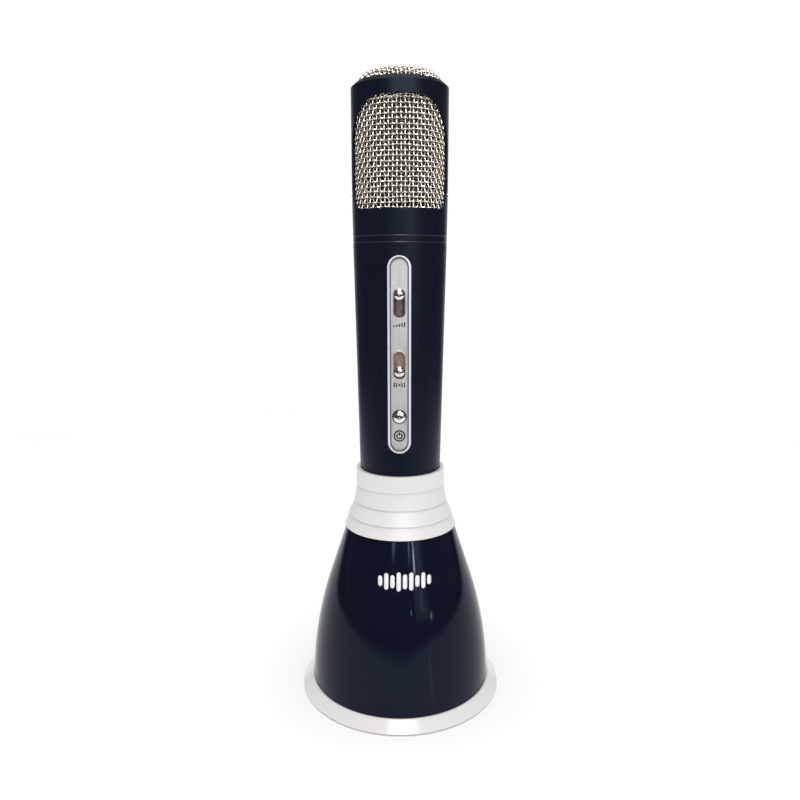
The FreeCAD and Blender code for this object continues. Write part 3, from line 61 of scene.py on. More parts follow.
class Finish:
    """One procedural material: a Principled shader and the nodes that vary it over the surface."""

    def __init__(self, name, roughness=0.5, metallic=0.0, **sockets):
        self.material = bpy.data.materials.new("look_" + name)
        self.material.use_nodes = True
        self.nodes = self.material.node_tree.nodes
        self.links = self.material.node_tree.links
        self.shader = self.nodes["Principled BSDF"]
        self.place = self.nodes.new("ShaderNodeTexCoord").outputs["Object"]
        self.set("Roughness", roughness)
        self.set("Metallic", metallic)
        for words, value in sockets.items():
            self.set(words.replace("_", " ").title().replace("Ior", "IOR"), value)

    def set(self, socket, value):
        """Give a shader socket a plain value, or drive it from another node's output."""
        target = self.shader.inputs[socket]
        if isinstance(value, bpy.types.NodeSocket):
            self.links.new(value, target)
        elif isinstance(value, tuple) and len(value) == 3 and len(target.default_value) == 4:
            target.default_value = (*value, 1.0)
        else:
            target.default_value = value

    def node(self, kind, output, inputs=(), **settings):
        """Add a node, set it up, and return one of its outputs."""
        node = self.nodes.new("ShaderNode" + kind)
        for name, value in settings.items():
            setattr(node, name, value)
        for name, value in dict(inputs).items():
            if isinstance(value, bpy.types.NodeSocket):
                self.links.new(value, node.inputs[name])
            else:
                node.inputs[name].default_value = value
        return node.outputs[output]

    def stretched(self, x, y, z):
        """The surface position scaled along each axis, which stretches a texture the other way."""
        return self.node("Mapping", "Vector", {"Vector": self.place, "Scale": (x, y, z)})

    def noise(self, size, detail=2.0, place=None):
        """Cloudy noise from 0 to 1, with features of the given size."""
        where = self.place if place is None else place
        return self.node("TexNoise", "Fac", {"Vector": where, "Scale": 1 / size, "Detail": detail})

    def cells(self, size):
        """Distance to the nearest of many scattered points."""
        return self.node("TexVoronoi", "Distance", {"Vector": self.place, "Scale": 1 / size})

    def bands(self, size, axis):
        """Smooth bands from 0 to 1 that follow each other along an axis."""
        inputs = {"Vector": self.place, "Scale": 1 / size}
        return self.node("TexWave", "Fac", inputs, bands_direction=axis)

    def spread(self, value, low, high, to_low=0.0, to_high=1.0):
        """Map a range of a value smoothly on to another."""
        inputs = {"Value": value, "From Min": low, "From Max": high, "To Min": to_low, "To Max": to_high}
        return self.node("MapRange", "Result", inputs, interpolation_type="SMOOTHSTEP")

    def blend(self, factor, first, second):
        """A colour between two colours, each a tuple or another node's output."""
        node = self.nodes.new("ShaderNodeMix")
        node.data_type = "RGBA"
        self.links.new(factor, node.inputs["Factor"])
        for socket, colour in ((node.inputs[6], first), (node.inputs[7], second)):
            if isinstance(colour, bpy.types.NodeSocket):
                self.links.new(colour, socket)
            else:
                socket.default_value = (*colour, 1.0)
        return node.outputs[2]

    def maths(self, operation, first, second=0.0):
        """One arithmetic step."""
        node = self.nodes.new("ShaderNodeMath")
        node.operation = operation
        for socket, value in zip(node.inputs, (first, second)):
            if isinstance(value, bpy.types.NodeSocket):
                self.links.new(value, socket)
            else:
                socket.default_value = value
        return node.outputs[0]

    def edges(self, radius, start=0.985, end=0.80):
        """1 on sharp edges and 0 on flats, from how far a rounded edge turns the surface."""
        rounded = self.node("Bevel", "Normal", {"Radius": radius}, samples=6)
        flat = self.node("NewGeometry", "True Normal")
        turn = self.node("VectorMath", "Value", {0: rounded, 1: flat}, operation="DOT_PRODUCT")
        return self.spread(turn, start, end)

    def relief(self, *layers, soft_edge=None):
        """Drive the shading normal from (height, depth) layers, over edges rounded by soft_edge."""
        normal = None
        if soft_edge is not None:
            normal = self.node("Bevel", "Normal", {"Radius": soft_edge}, samples=6)
        for height, depth in layers:
            inputs = {"Height": height, "Distance": depth, "Strength": 1.0}
            if normal is not None:
                inputs["Normal"] = normal
            normal = self.node("Bump", "Normal", inputs)
        self.set("Normal", normal)


def surface(name, colour, second, patch, grain, depth, rough, metallic=0.0, soft_edge=None, **more):
    """A finish whose colour drifts in patches, with a fine grain that moves its roughness and relief."""
    look = Finish(name, metallic=metallic, **more)
    drift = look.noise(patch, 4.0)
    fine = look.noise(grain, 3.0)
    look.set("Base Color", look.blend(look.spread(drift, 0.35, 0.65), colour, second))
    look.set("Roughness", look.spread(fine, 0.25, 0.75, rough[0], rough[1]))
    look.relief((fine, depth), soft_edge=soft_edge)
    return look.material


def navy_satin():
    """Satin navy coating: fine grain, faint mottling and softly rounded edges, lightened by a painted
    highlight.
    """
    look = Finish("navy_satin", specular_ior_level=0.18, specular_tint=(0.62, 0.80, 1.0))
    body = look.blend(look.noise(9 * MM, 3.0), (0.0040, 0.0056, 0.0150), (0.0054, 0.0074, 0.0182))
    # Painted highlight: the colour turns a lighter navy along sharp edges.
    painted_edge_highlight = look.edges(0.35 * MM)
    look.set("Base Color", look.blend(painted_edge_highlight, body, (0.010, 0.013, 0.024)))
    grain = look.noise(0.22 * MM, 2.0)
    smudge = look.noise(14 * MM, 4.0)
    fine, broad = look.spread(grain, 0.3, 0.7, 0.0, 0.06), look.spread(smudge, 0.3, 0.7, 0.28, 0.34)
    look.set("Roughness", look.maths("ADD", fine, broad))
    look.relief((grain, 0.006 * MM), soft_edge=0.25 * MM)
    return look.material


def navy_gloss():
    """Gloss navy moulding: mirror-like with slow waviness, dust specks and faint rub marks."""
    look = Finish("navy_gloss", specular_ior_level=0.155, specular_tint=(0.60, 0.76, 1.0))
    tone = look.blend(look.noise(16 * MM, 3.0), (0.0040, 0.0056, 0.0135), (0.0056, 0.0074, 0.0170))
    specks = look.spread(look.cells(1.9 * MM), 0.045, 0.02)
    sparse = look.spread(look.noise(7 * MM, 2.0), 0.56, 0.62)
    dust = look.maths("MULTIPLY", specks, sparse)
    look.set("Base Color", look.blend(dust, tone, (0.16, 0.17, 0.20)))
    rubbed = look.noise(5 * MM, 4.0, look.stretched(1.0, 1.0, 0.25))
    look.set("Roughness", look.spread(rubbed, 0.35, 0.75, 0.07, 0.11))
    waves, ripples = look.noise(11 * MM, 1.0), look.noise(0.7 * MM, 1.0)
    look.relief((waves, 0.05 * MM), (ripples, 0.0012 * MM), soft_edge=0.2 * MM)
    return look.material


def moulded_white(name, rough, tone, shade):
    """White moulded plastic: warm drift in tone, painted shade that darkens the corners and creases, and
    rounded edges lightened by a painted highlight.
    """
    look = Finish(name, specular_ior_level=0.5, subsurface_weight=0.12, subsurface_scale=0.6 * MM)
    look.set("Subsurface Radius", (1.0, 0.9, 0.8))
    base = look.blend(look.noise(12 * MM, 3.0), tone, shade)
    # Painted shade: the colour darkens where the surface is hemmed in, in corners, creases and
    # undercuts.
    open_air = look.node("AmbientOcclusion", "AO", {"Distance": 1.2 * MM}, samples=8)
    painted_corner_shade = look.spread(open_air, 0.75, 0.25)
    # Painted highlight: the colour turns near white along sharp edges.
    base_and_edge_highlight = look.blend(look.edges(0.25 * MM), base, (0.93, 0.92, 0.915))
    look.set("Base Color", look.blend(painted_corner_shade, base_and_edge_highlight, (0.40, 0.37, 0.35)))
    grain = look.noise(0.35 * MM, 2.0)
    look.set("Roughness", look.spread(grain, 0.3, 0.7, rough, rough + 0.07))
    look.relief((look.noise(6 * MM, 1.0), 0.03 * MM), (grain, 0.002 * MM), soft_edge=0.3 * MM)
    return look.material


def drawn_wire():
    """Champagne-plated steel wire: bright crowns, darker where plating is thin."""
    look = Finish("grille_wire", metallic=1.0)
    plating = look.blend(look.noise(2.2 * MM, 4.0), (0.72, 0.65, 0.58), (0.97, 0.90, 0.83))
    tarnish = look.spread(look.noise(0.9 * MM, 3.0), 0.58, 0.74)
    look.set("Base Color", look.blend(tarnish, plating, (0.30, 0.25, 0.21)))
    fine = look.noise(0.20 * MM, 2.0)
    look.set("Roughness", look.spread(fine, 0.3, 0.7, 0.10, 0.26))
    look.relief((fine, 0.022 * MM))
    return look.material


def brushed_panel():
    """Satin silver panel brushed along its length."""
    look = Finish("panel_silver", metallic=0.60, specular_ior_level=0.5)
    strokes = look.noise(0.35 * MM, 4.0, look.stretched(1.0, 1.0, 0.03))
    tone = look.blend(look.noise(9 * MM, 2.0), (0.60, 0.605, 0.60), (0.66, 0.665, 0.66))
    look.set("Base Color", look.blend(look.spread(strokes, 0.3, 0.7), tone, (0.70, 0.70, 0.695)))
    look.set("Roughness", look.spread(strokes, 0.3, 0.7, 0.36, 0.48))
    look.relief((strokes, 0.004 * MM), soft_edge=0.12 * MM)
    return look.material


def plated_bezel():
    """Bezel with a polished rim round a rougher slope that leads down to the panel; the slope is painted
    dark as shade.
    """
    look = Finish("bezel_silver", metallic=0.25)
    forward = look.node("CombineXYZ", "Vector", {"Y": -SLIDE_AXIS.z, "Z": SLIDE_AXIS.y})
    outward = look.node("NewGeometry", "True Normal")
    facing = look.node("VectorMath", "Value", {0: outward, 1: forward}, operation="DOT_PRODUCT")
    rim = look.spread(facing, 0.86, 0.96)
    marks = look.noise(0.4 * MM, 3.0)
    # Painted shade: the slope of the bezel is given a near-black colour.
    painted_shade_slope = look.blend(marks, (0.10, 0.10, 0.105), (0.16, 0.16, 0.165))
    bright = look.blend(marks, (0.80, 0.805, 0.82), (0.88, 0.885, 0.90))
    look.set("Base Color", look.blend(rim, painted_shade_slope, bright))
    look.set("Roughness", look.spread(rim, 0.0, 1.0, 0.42, 0.30))
    look.relief((marks, 0.0015 * MM), soft_edge=0.12 * MM)
    return look.material


def polished(name, colour, second, rough, soft_edge, metallic=1.0):
    """Bright plated metal with faint handling marks."""
    look = Finish(name, metallic=metallic)
    look.set("Base Color", look.blend(look.noise(1.5 * MM, 3.0), colour, second))
    marks = look.noise(0.4 * MM, 3.0, look.stretched(1.0, 1.0, 0.3))
    look.set("Roughness", look.spread(marks, 0.4, 0.8, rough, rough + 0.10))
    look.relief((marks, 0.0015 * MM), soft_edge=soft_edge)
    return look.material


def open_foam():
    """Open-cell foam: pale struts round pores, whose near-black colour is painted shade in the holes."""
    look = Finish("foam_grey", roughness=0.95, specular_ior_level=0.1)
    pores = look.spread(look.cells(0.45 * MM), 0.15, 0.55)
    struts = look.blend(look.noise(3 * MM, 3.0), (0.105, 0.088, 0.075), (0.155, 0.130, 0.113))
    # Painted shade: the pores are coloured near black, as the holes in the foam lie in shade.
    look.set("Base Color", look.blend(pores, (0.012, 0.010, 0.009), struts))
    look.relief((pores, 0.18 * MM))
    return look.material


def circuit_board():
    """Green solder mask over copper tracks."""
    look = Finish("board_green", roughness=0.32, specular_ior_level=0.5)
    grid = look.node("TexBrick", "Fac", {
        "Vector": look.place, "Scale": 1 / (6 * MM), "Mortar Size": 0.03,
        "Brick Width": 1.1, "Row Height": 0.37,
    }, offset=0.35, squash=0.7)
    mask = look.blend(look.noise(4 * MM, 3.0), (0.006, 0.075, 0.028), (0.010, 0.11, 0.040))
    look.set("Base Color", look.blend(grid, mask, (0.03, 0.20, 0.07)))
    look.relief((grid, 0.03 * MM))
    return look.material


def phenolic(name, colour, second):
    """Brown paper-phenolic slider board with streaky fibres and carbon smudges."""
    look = Finish(name, specular_ior_level=0.4)
    fibres = look.noise(0.5 * MM, 4.0, look.stretched(1.0, 1.0, 0.25))
    base = look.blend(look.spread(fibres, 0.3, 0.7), colour, second)
    smudge = look.spread(look.noise(1.6 * MM, 3.0), 0.55, 0.72)
    look.set("Base Color", look.blend(smudge, base, (0.05, 0.028, 0.018)))
    look.set("Roughness", look.spread(fibres, 0.3, 0.7, 0.42, 0.60))
    look.relief((fibres, 0.01 * MM))
    return look.material


def woven_cloth():
    """Amber resin cloth of the speaker's spider."""
    look = Finish("cloth_amber", roughness=0.75, specular_ior_level=0.3)
    weave = look.maths("MULTIPLY", look.bands(2.4 * MM, "X"), look.bands(2.4 * MM, "Y"))
    # Painted shade: the colour darkens in the hollows between threads.
    look.set("Base Color", look.blend(weave, (0.24, 0.11, 0.022), (0.55, 0.30, 0.075)))
    look.relief((weave, 0.05 * MM))
    return look.material


def wound_copper():
    """Enamelled copper wire wound in turns up the coil former."""
    look = Finish("copper_coil", metallic=1.0)
    turns = look.bands(1.6 * MM, "Z")
    tone = look.blend(look.noise(2 * MM, 2.0), (0.58, 0.22, 0.10), (0.72, 0.32, 0.15))
    # Painted shade: the colour darkens in the grooves between turns.
    look.set("Base Color", look.blend(turns, (0.26, 0.09, 0.04), tone))
    look.set("Roughness", look.spread(turns, 0.0, 1.0, 0.45, 0.25))
    look.relief((turns, 0.06 * MM))
    return look.material


def paper_pulp():
    """Pressed black paper with fibres."""
    look = Finish("paper_black", roughness=0.9, specular_ior_level=0.2)
    fibres = look.noise(0.7 * MM, 5.0)
    shade = look.spread(fibres, 0.35, 0.65)
    look.set("Base Color", look.blend(shade, (0.010, 0.010, 0.011), (0.035, 0.034, 0.033)))
    look.relief((fibres, 0.06 * MM))
    return look.material


def clear_lens():
    """Clear light pipe with a faint milky core."""
    look = Finish("light_clear", roughness=0.12, specular_ior_level=0.5)
    haze = look.noise(0.6 * MM, 3.0)
    look.set("Base Color", look.blend(haze, (0.72, 0.75, 0.78), (0.90, 0.92, 0.94)))
    look.set("Transmission Weight", 0.6)
    look.relief((haze, 0.004 * MM), soft_edge=0.1 * MM)
    return look.material


LOOKS = {
    "navy_satin": navy_satin(),
    "navy_gloss": navy_gloss(),
    "white_gloss": moulded_white("white_gloss", 0.13, (0.76, 0.74, 0.735), (0.79, 0.77, 0.765)),
    "white_satin": moulded_white("white_satin", 0.30, (0.73, 0.715, 0.715), (0.77, 0.755, 0.75)),
    "grille_wire": drawn_wire(),
    "panel_silver": brushed_panel(),
    "bezel_silver": plated_bezel(),
    "bright_chrome": polished("bright_chrome", (0.70, 0.72, 0.73), (0.78, 0.79, 0.80), 0.09, 0.08 * MM),
    "steel": polished("steel", (0.46, 0.46, 0.47), (0.60, 0.60, 0.61), 0.24, 0.1 * MM),
    "nickel": polished("nickel", (0.72, 0.69, 0.64), (0.84, 0.81, 0.77), 0.18, 0.08 * MM, metallic=0.7),
    "foam_grey": open_foam(),
    "board_green": circuit_board(),
    "wafer_brown": phenolic("wafer_brown", (0.045, 0.026, 0.018), (0.080, 0.048, 0.032)),
    "cloth_amber": woven_cloth(),
    "copper_coil": wound_copper(),
    "paper_black": paper_pulp(),
    "light_clear": clear_lens(),
    "black_plastic": surface(
        "black_plastic", (0.010, 0.010, 0.011), (0.020, 0.020, 0.022),
        6 * MM, 0.25 * MM, 0.012 * MM, (0.42, 0.58), soft_edge=0.15 * MM,
    ),
    "rubber_black": surface(
        "rubber_black", (0.012, 0.012, 0.012), (0.024, 0.023, 0.022),
        8 * MM, 0.4 * MM, 0.02 * MM, (0.68, 0.86), soft_edge=0.2 * MM,
    ),
    "lever_grey": surface(
        "lever_grey", (0.055, 0.056, 0.060), (0.085, 0.086, 0.090),
        3 * MM, 0.2 * MM, 0.008 * MM, (0.35, 0.5), soft_edge=0.1 * MM,
    ),
    "chip_black": surface(
        "chip_black", (0.014, 0.014, 0.015), (0.026, 0.026, 0.028),
        3 * MM, 0.12 * MM, 0.01 * MM, (0.5, 0.7), soft_edge=0.08 * MM,
    ),
    "battery_sleeve": surface(
        "battery_sleeve", (0.020, 0.085, 0.24), (0.032, 0.115, 0.30),
        9 * MM, 0.6 * MM, 0.006 * MM, (0.18, 0.30), soft_edge=0.3 * MM,
    ),
    "grille_black": surface(
        "grille_black", (0.010, 0.010, 0.012), (0.021, 0.021, 0.024),
        7 * MM, 0.18 * MM, 0.012 * MM, (0.40, 0.56), soft_edge=0.12 * MM,
    ),
    "ferrite": surface(
        "ferrite", (0.030, 0.029, 0.030), (0.055, 0.053, 0.053),
        4 * MM, 0.5 * MM, 0.03 * MM, (0.6, 0.8),
    ),
}

PRINT_WHITE = surface(
    "print_white", (0.80, 0.81, 0.83), (0.86, 0.87, 0.88),
    3 * MM, 0.15 * MM, 0.004 * MM, (0.28, 0.42),
)
PRINT_GREY = surface(
    "print_grey", (0.014, 0.014, 0.015), (0.030, 0.030, 0.032),
    1.5 * MM, 0.12 * MM, 0.003 * MM, (0.55, 0.70), specular_ior_level=0.08,
)

SHUTTER_RED = phenolic("shutter_red", (0.125, 0.080, 0.082), (0.185, 0.125, 0.125))
SHUTTER_TAN = phenolic("shutter_tan", (0.26, 0.165, 0.105), (0.38, 0.26, 0.18))
SEAM_GLOSS = surface(
    "seam_gloss", (0.006, 0.008, 0.018), (0.009, 0.011, 0.022),
    4 * MM, 0.2 * MM, 0.001 * MM, (0.08, 0.12), specular_ior_level=0.7,
)
RIM_BRIGHT = polished("rim_bright", (0.52, 0.52, 0.53), (0.64, 0.64, 0.65), 0.42, 0.05 * MM)

for node in frame["nodes"].values():
    node.data.materials[0] = LOOKS[node.data.materials[0].name]


# ---------------------------------------------------------------- mesh builders

def piece(name, points, faces, material, slot=None, replaced=(), body=BODY, crease=None):
    """Make a smooth-shaded piece that rides on a body; edges sharper than a crease angle stay sharp."""
    mesh = bpy.data.meshes.new(name)
    mesh.from_pydata([tuple(p) for p in points], [], [tuple(f) for f in faces])
    mesh.validate()
    mesh.materials.append(material)
    mesh.shade_smooth()
    if crease is not None:
        mesh.set_sharp_from_angle(angle=math.radians(crease))
    shown = bpy.data.objects.new(name, mesh)
    bpy.context.scene.collection.objects.link(shown)
    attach(shown, body)
    if replaced:
        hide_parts(*replaced)
    return shown


def unit(vectors):
    """Each row of an array at length 1."""
    return vectors / np.linalg.norm(vectors, axis=-1, keepdims=True)


def tube(path, outward, radius, sides, closed=False):
    """Points and faces of a round wire along a path; outward says which way its surface faces."""
    path = np.asarray(path, float)
    if closed:
        along = unit(np.roll(path, -1, axis=0) - np.roll(path, 1, axis=0))
    else:
        along = unit(np.gradient(path, axis=0))
    across = unit(np.cross(along, outward))
    out = np.cross(across, along)
    turn = np.arange(sides) * math.tau / sides
    cos, sin = np.cos(turn)[None, :, None], np.sin(turn)[None, :, None]
    ring = out[:, None, :] * cos + across[:, None, :] * sin
    points = (path[:, None, :] + radius * ring).reshape(-1, 3)
    steps = len(path) if closed else len(path) - 1
    row = np.arange(steps)[:, None] * sides
    following = (np.arange(steps)[:, None] + 1) % len(path) * sides
    side = np.arange(sides)[None, :]
    beside = (side + 1) % sides
    corners = [row + side, row + beside, following + beside, following + side]
    faces = np.stack(corners, axis=-1).reshape(-1, 4).tolist()
    if not closed:
        last = (len(path) - 1) * sides
        faces.append(list(range(sides))[::-1])
        faces.append([last + i for i in range(sides)])
    return points, faces


def joined(parts):
    """Several (points, faces) pairs as one."""
    points, faces, count = [], [], 0
    for some_points, some_faces in parts:
        points.append(np.asarray(some_points))
        faces.extend([[i + count for i in face] for face in some_faces])
        count += len(some_points)
    return np.concatenate(points), faces


# ---------------------------------------------------------------- woven wire grille

GRILLE_LOW, GRILLE_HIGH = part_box("mesh_grille")
WIRE_RADIUS = 0.325 * MM
WEAVE_RADIUS = GRILLE_HIGH.x - 2 * WIRE_RADIUS
UPRIGHTS = 70
ROW_PITCH = 1.82 * MM
SHOULDER_Z = GRILLE_HIGH.z - 13.0 * MM
ROWS = round((SHOULDER_Z - GRILLE_LOW.z - WIRE_RADIUS) / ROW_PITCH)
CRIMP = WIRE_RADIUS * 0.98
UPRIGHT_DRIFT = 0.0075
HOOP_DRIFT = 0.13 * MM
CROWN_DRIFT = 0.09 * MM
WIRE_SIDES = 8
STEPS_PER_CROSSING = 6
wander = np.random.default_rng(7)


def drifting(count, amount, knots):
    """A slow random drift, sampled count times, that starts and ends alike."""
    values = wander.normal(0.0, amount, knots)
    values = np.append(values, values[0])
    where = np.linspace(0, knots, count)
    index = np.minimum(where.astype(int), knots - 1)
    part = where - index
    part = part * part * (3 - 2 * part)
    return values[index] * (1 - part) + values[index + 1] * part


def upright_wires():
    """The wires that run up the cylinder, crimped over and under every row."""
    count = ROWS * STEPS_PER_CROSSING + 1
    crossing = np.linspace(0, ROWS, count)
    height = GRILLE_LOW.z + WIRE_RADIUS + crossing * ROW_PITCH
    parts = []
    for k in range(UPRIGHTS):
        angle = math.tau * k / UPRIGHTS + drifting(count, UPRIGHT_DRIFT, 9)
        lift = CRIMP * (-1) ** k * np.cos(math.pi * crossing)
        out = np.stack([np.cos(angle), np.sin(angle), np.zeros(count)], axis=1)
        path = out * (WEAVE_RADIUS + lift)[:, None]
        path[:, 2] = height
        parts.append(tube(path, out, WIRE_RADIUS, WIRE_SIDES))
    return joined(parts)


def hoop_wires():
    """The level wires, each crimped the other way to the uprights that it crosses."""
    count = UPRIGHTS * STEPS_PER_CROSSING
    angle = np.arange(count) * math.tau / count
    out = np.stack([np.cos(angle), np.sin(angle), np.zeros(count)], axis=1)
    parts = []
    for row in range(ROWS + 1):
        lift = -CRIMP * (-1) ** row * np.cos(angle * UPRIGHTS / 2)
        path = out * (WEAVE_RADIUS + lift)[:, None]
        path[:, 2] = GRILLE_LOW.z + WIRE_RADIUS + row * ROW_PITCH + drifting(count, HOOP_DRIFT, 17)
        parts.append(tube(path, out, WIRE_RADIUS, WIRE_SIDES, closed=True))
    return joined(parts)


class Dome:
    """The crown of the grille as a profile: radius, height and normal by distance from the top."""

    POWER = 3.4

    def __init__(self, radius, foot_z, top_z, end_z):
        angle = np.linspace(math.pi / 2, 0.0, 4000)
        across = radius * np.abs(np.cos(angle)) ** (2 / self.POWER)
        height = foot_z + (top_z - foot_z) * np.abs(np.sin(angle)) ** (2 / self.POWER)
        across[0] = 0.0
        keep = height >= end_z
        self.across, self.height = across[keep], height[keep]
        steps = np.hypot(np.diff(self.across), np.diff(self.height))
        self.distance = np.concatenate([[0.0], np.cumsum(steps)])
        self.reach = self.distance[-1]
        self.slope = np.gradient(self.height, self.distance), np.gradient(self.across, self.distance)

    def place(self, u, v, lift):
        """Points of the dome over a flat sheet's u and v, raised by lift, with their outward normals."""
        distance = np.hypot(u, v)
        bearing = np.arctan2(v, u)
        across = np.interp(distance, self.distance, self.across)
        height = np.interp(distance, self.distance, self.height)
        fall = np.interp(distance, self.distance, self.slope[0])
        run = np.interp(distance, self.distance, self.slope[1])
        out = unit(np.stack([-fall * np.cos(bearing), -fall * np.sin(bearing), run], axis=-1))
        points = np.stack([across * np.cos(bearing), across * np.sin(bearing), height], axis=-1)
        return points + out * lift[:, None], out


CROWN_PITCH = 1.6 * MM
CROWN_TURN = math.radians(9)
CROWN_FOOT_Z = 235 * MM


def crown_wires():
    """Square weave drawn over the crown: two sets of wires that cross each other in a flat sheet."""
    dome = Dome(WEAVE_RADIUS, CROWN_FOOT_Z, GRILLE_HIGH.z - 2 * WIRE_RADIUS, SHOULDER_Z - 0.6 * MM)
    lines = int(dome.reach / CROWN_PITCH)
    parts = []
    for family in (0, 1):
        for line in range(-lines, lines + 1):
            offset = line * CROWN_PITCH
            half = math.sqrt(max(dome.reach ** 2 - offset ** 2, 0.0))
            if half < CROWN_PITCH:
                continue
            count = int(half / CROWN_PITCH * STEPS_PER_CROSSING) * 2 + 1
            run = np.linspace(-half, half, count)
            sideways = offset + drifting(count, CROWN_DRIFT, 6)
            sign = (-1) ** (line + family)
            lift = CRIMP * sign * np.cos(math.pi * run / CROWN_PITCH)
            u, v = (run, sideways) if family else (sideways, run)
            cos, sin = math.cos(CROWN_TURN), math.sin(CROWN_TURN)
            path, out = dome.place(u * cos - v * sin, u * sin + v * cos, lift)
            parts.append(tube(path, out, WIRE_RADIUS, WIRE_SIDES))
    return joined(parts)


piece("grille_uprights", *upright_wires(), LOOKS["grille_wire"], "grille_wire", ["mesh_grille"])
piece("grille_hoops", *hoop_wires(), LOOKS["grille_wire"], "grille_wire")
piece("grille_crown", *crown_wires(), LOOKS["grille_wire"], "grille_wire")


# ---------------------------------------------------------------- foam behind the grille

def turned(profile, segments):
    """A closed profile of (radius, height) turned about the upright axis; radius 0 makes a pole."""
    points, faces, rows = [], [], []
    for radius, height in profile:
        first = len(points)
        if radius < 1e-9:
            points.append((0.0, 0.0, height))
            rows.append([first] * segments)
            continue
        for i in range(segments):
            angle = math.tau * i / segments
            points.append((radius * math.cos(angle), radius * math.sin(angle), height))
        rows.append(list(range(first, first + segments)))
    for low, high in zip(rows, rows[1:] + rows[:1]):
        for i in range(segments):
            j = (i + 1) % segments
            corners = [low[i], low[j], high[j], high[i]]
            face = [c for n, c in enumerate(corners) if c not in corners[:n]]
            if len(face) > 2:
                faces.append(face)
    return np.array(points), faces


def foam_plug():
    """Foam plug with a lumpy skin and a crowned top, hollow over the capsule."""
    low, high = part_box("foam_windscreen")
    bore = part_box("capsule_mount")[1].x + 0.15 * MM
    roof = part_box("mic_capsule")[1].z + 4 * MM
    radius = high.x - 0.1 * MM
    round_from = high.z - 12 * MM
    crown = 2.4
    profile = [(bore, low.z)]
    profile += [(radius, low.z + (round_from - low.z) * t) for t in np.linspace(0, 1, 40)]
    for angle in np.linspace(0.02, math.pi / 2 - 0.02, 40):
        profile.append((
            radius * math.cos(angle) ** (2 / crown),
            round_from + (high.z - 0.2 * MM - round_from) * math.sin(angle) ** (2 / crown),
        ))
    profile += [(0.0, high.z - 0.2 * MM), (0.0, roof), (bore, roof)]
    points, faces = turned(profile, 180)
    skin = np.linalg.norm(points[:, :2], axis=1) > bore + 1 * MM
    lumps = np.random.default_rng(3).uniform(0.0, 0.25 * MM, len(points))
    points[:, :2] *= (1 - np.where(skin, lumps, 0.0) / radius)[:, None]
    return points, faces


foam = piece("foam_plug", *foam_plug(), LOOKS["foam_grey"], "foam_grey", ["foam_windscreen"])


# ---------------------------------------------------------------- printed marks and slot rims

def along_strip(node):
    """How far up the slide axis a node's middle is."""
    low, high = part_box(node)
    return ((low + high) / 2).dot(SLIDE_AXIS)


class Flat:
    """The flat front of the control panel: x goes across it and y up the slide axis."""

    def __init__(self, node):
        self.out = RIGHT.cross(SLIDE_AXIS)
        self.front = max(v.co.dot(self.out) for v in frame["nodes"][node].data.vertices)
        self.middle = along_strip(node)

    def __call__(self, x, y, lift):
        return RIGHT * x + SLIDE_AXIS * (self.middle + y) + self.out * (self.front + lift)


class Bell:
    """The outside of the bell, with x wrapped round it from the front and z its height."""

    def __init__(self, node):
        mesh = frame["nodes"][node].data
        self.tree = BVHTree.FromPolygons(
            [v.co.copy() for v in mesh.vertices], [tuple(p.vertices) for p in mesh.polygons]
        )
        self.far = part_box(node)[1].x * 2

    def at(self, angle, z):
        toward = Vector((-math.sin(angle), math.cos(angle), 0))
        return self.tree.ray_cast(Vector((0, 0, z)) - toward * self.far, toward)

    def __call__(self, x, z, lift):
        radius = Vector(self.at(0.0, z)[0]).xy.length
        spot, normal = self.at(x / radius, z)[:2]
        return spot + normal * lift


def ribbon(place, path, half_widths, lift, closed=False):
    """A thin printed stroke along a flat path: its face is lifted and its underside is sunk a little."""
    path = [Vector(p) for p in path]
    points, faces = [], []
    count = len(path)
    for i, (centre, half) in enumerate(zip(path, half_widths)):
        before = path[i - 1] if closed or i > 0 else path[i]
        after = path[(i + 1) % count] if closed or i < count - 1 else path[i]
        along = (after - before).normalized()
        side = Vector((-along.y, along.x)) * half
        for offset in (-1.0, 0.0, 1.0):
            spot = centre + side * offset
            points.append(place(spot.x, spot.y, lift))
        for offset in (1.0, -1.0):
            spot = centre + side * offset
            points.append(place(spot.x, spot.y, -lift))
    for i in range(count if closed else count - 1):
        low, high = i * 5, (i + 1) % count * 5
        for a in range(5):
            b = (a + 1) % 5
            faces.append((low + a, high + a, high + b, low + b))
    if not closed:
        faces.append((0, 1, 2, 3, 4))
        last = (count - 1) * 5
        faces.append((last + 4, last + 3, last + 2, last + 1, last))
    return points, faces


def arc(x, y, radius, start, end, steps=28):
    """Points of an arc, in degrees anticlockwise from the right."""
    angles = [math.radians(start + (end - start) * t / steps) for t in range(steps + 1)]
    return [(x + radius * math.cos(a), y + radius * math.sin(a)) for a in angles]


def bar(place, x, y, height, half_width, lift):
    """An upright stroke with round ends."""
    path, halves = [], []
    straight = height / 2 - half_width
    for t in np.linspace(-1, 1, 15):
        rounded = math.copysign(1 - (1 - abs(t)) ** 2, t) if abs(t) > 0.4 else t * 1.6
        offset = rounded * height / 2
        beyond = max(abs(offset) - straight, 0.0)
        path.append((x, y + offset))
        halves.append(math.sqrt(max(half_width ** 2 - beyond ** 2, (0.06 * half_width) ** 2)))
    return ribbon(place, path, halves, lift)


def slab(place, outline, low, high):
    """A flat plate with the given outline, between two heights off the surface."""
    count = len(outline)
    points = [place(x, y, low) for x, y in outline] + [place(x, y, high) for x, y in outline]
    faces = [list(range(count))[::-1], list(range(count, 2 * count))]
    faces += [(i, (i + 1) % count, count + (i + 1) % count, count + i) for i in range(count)]
    return points, faces


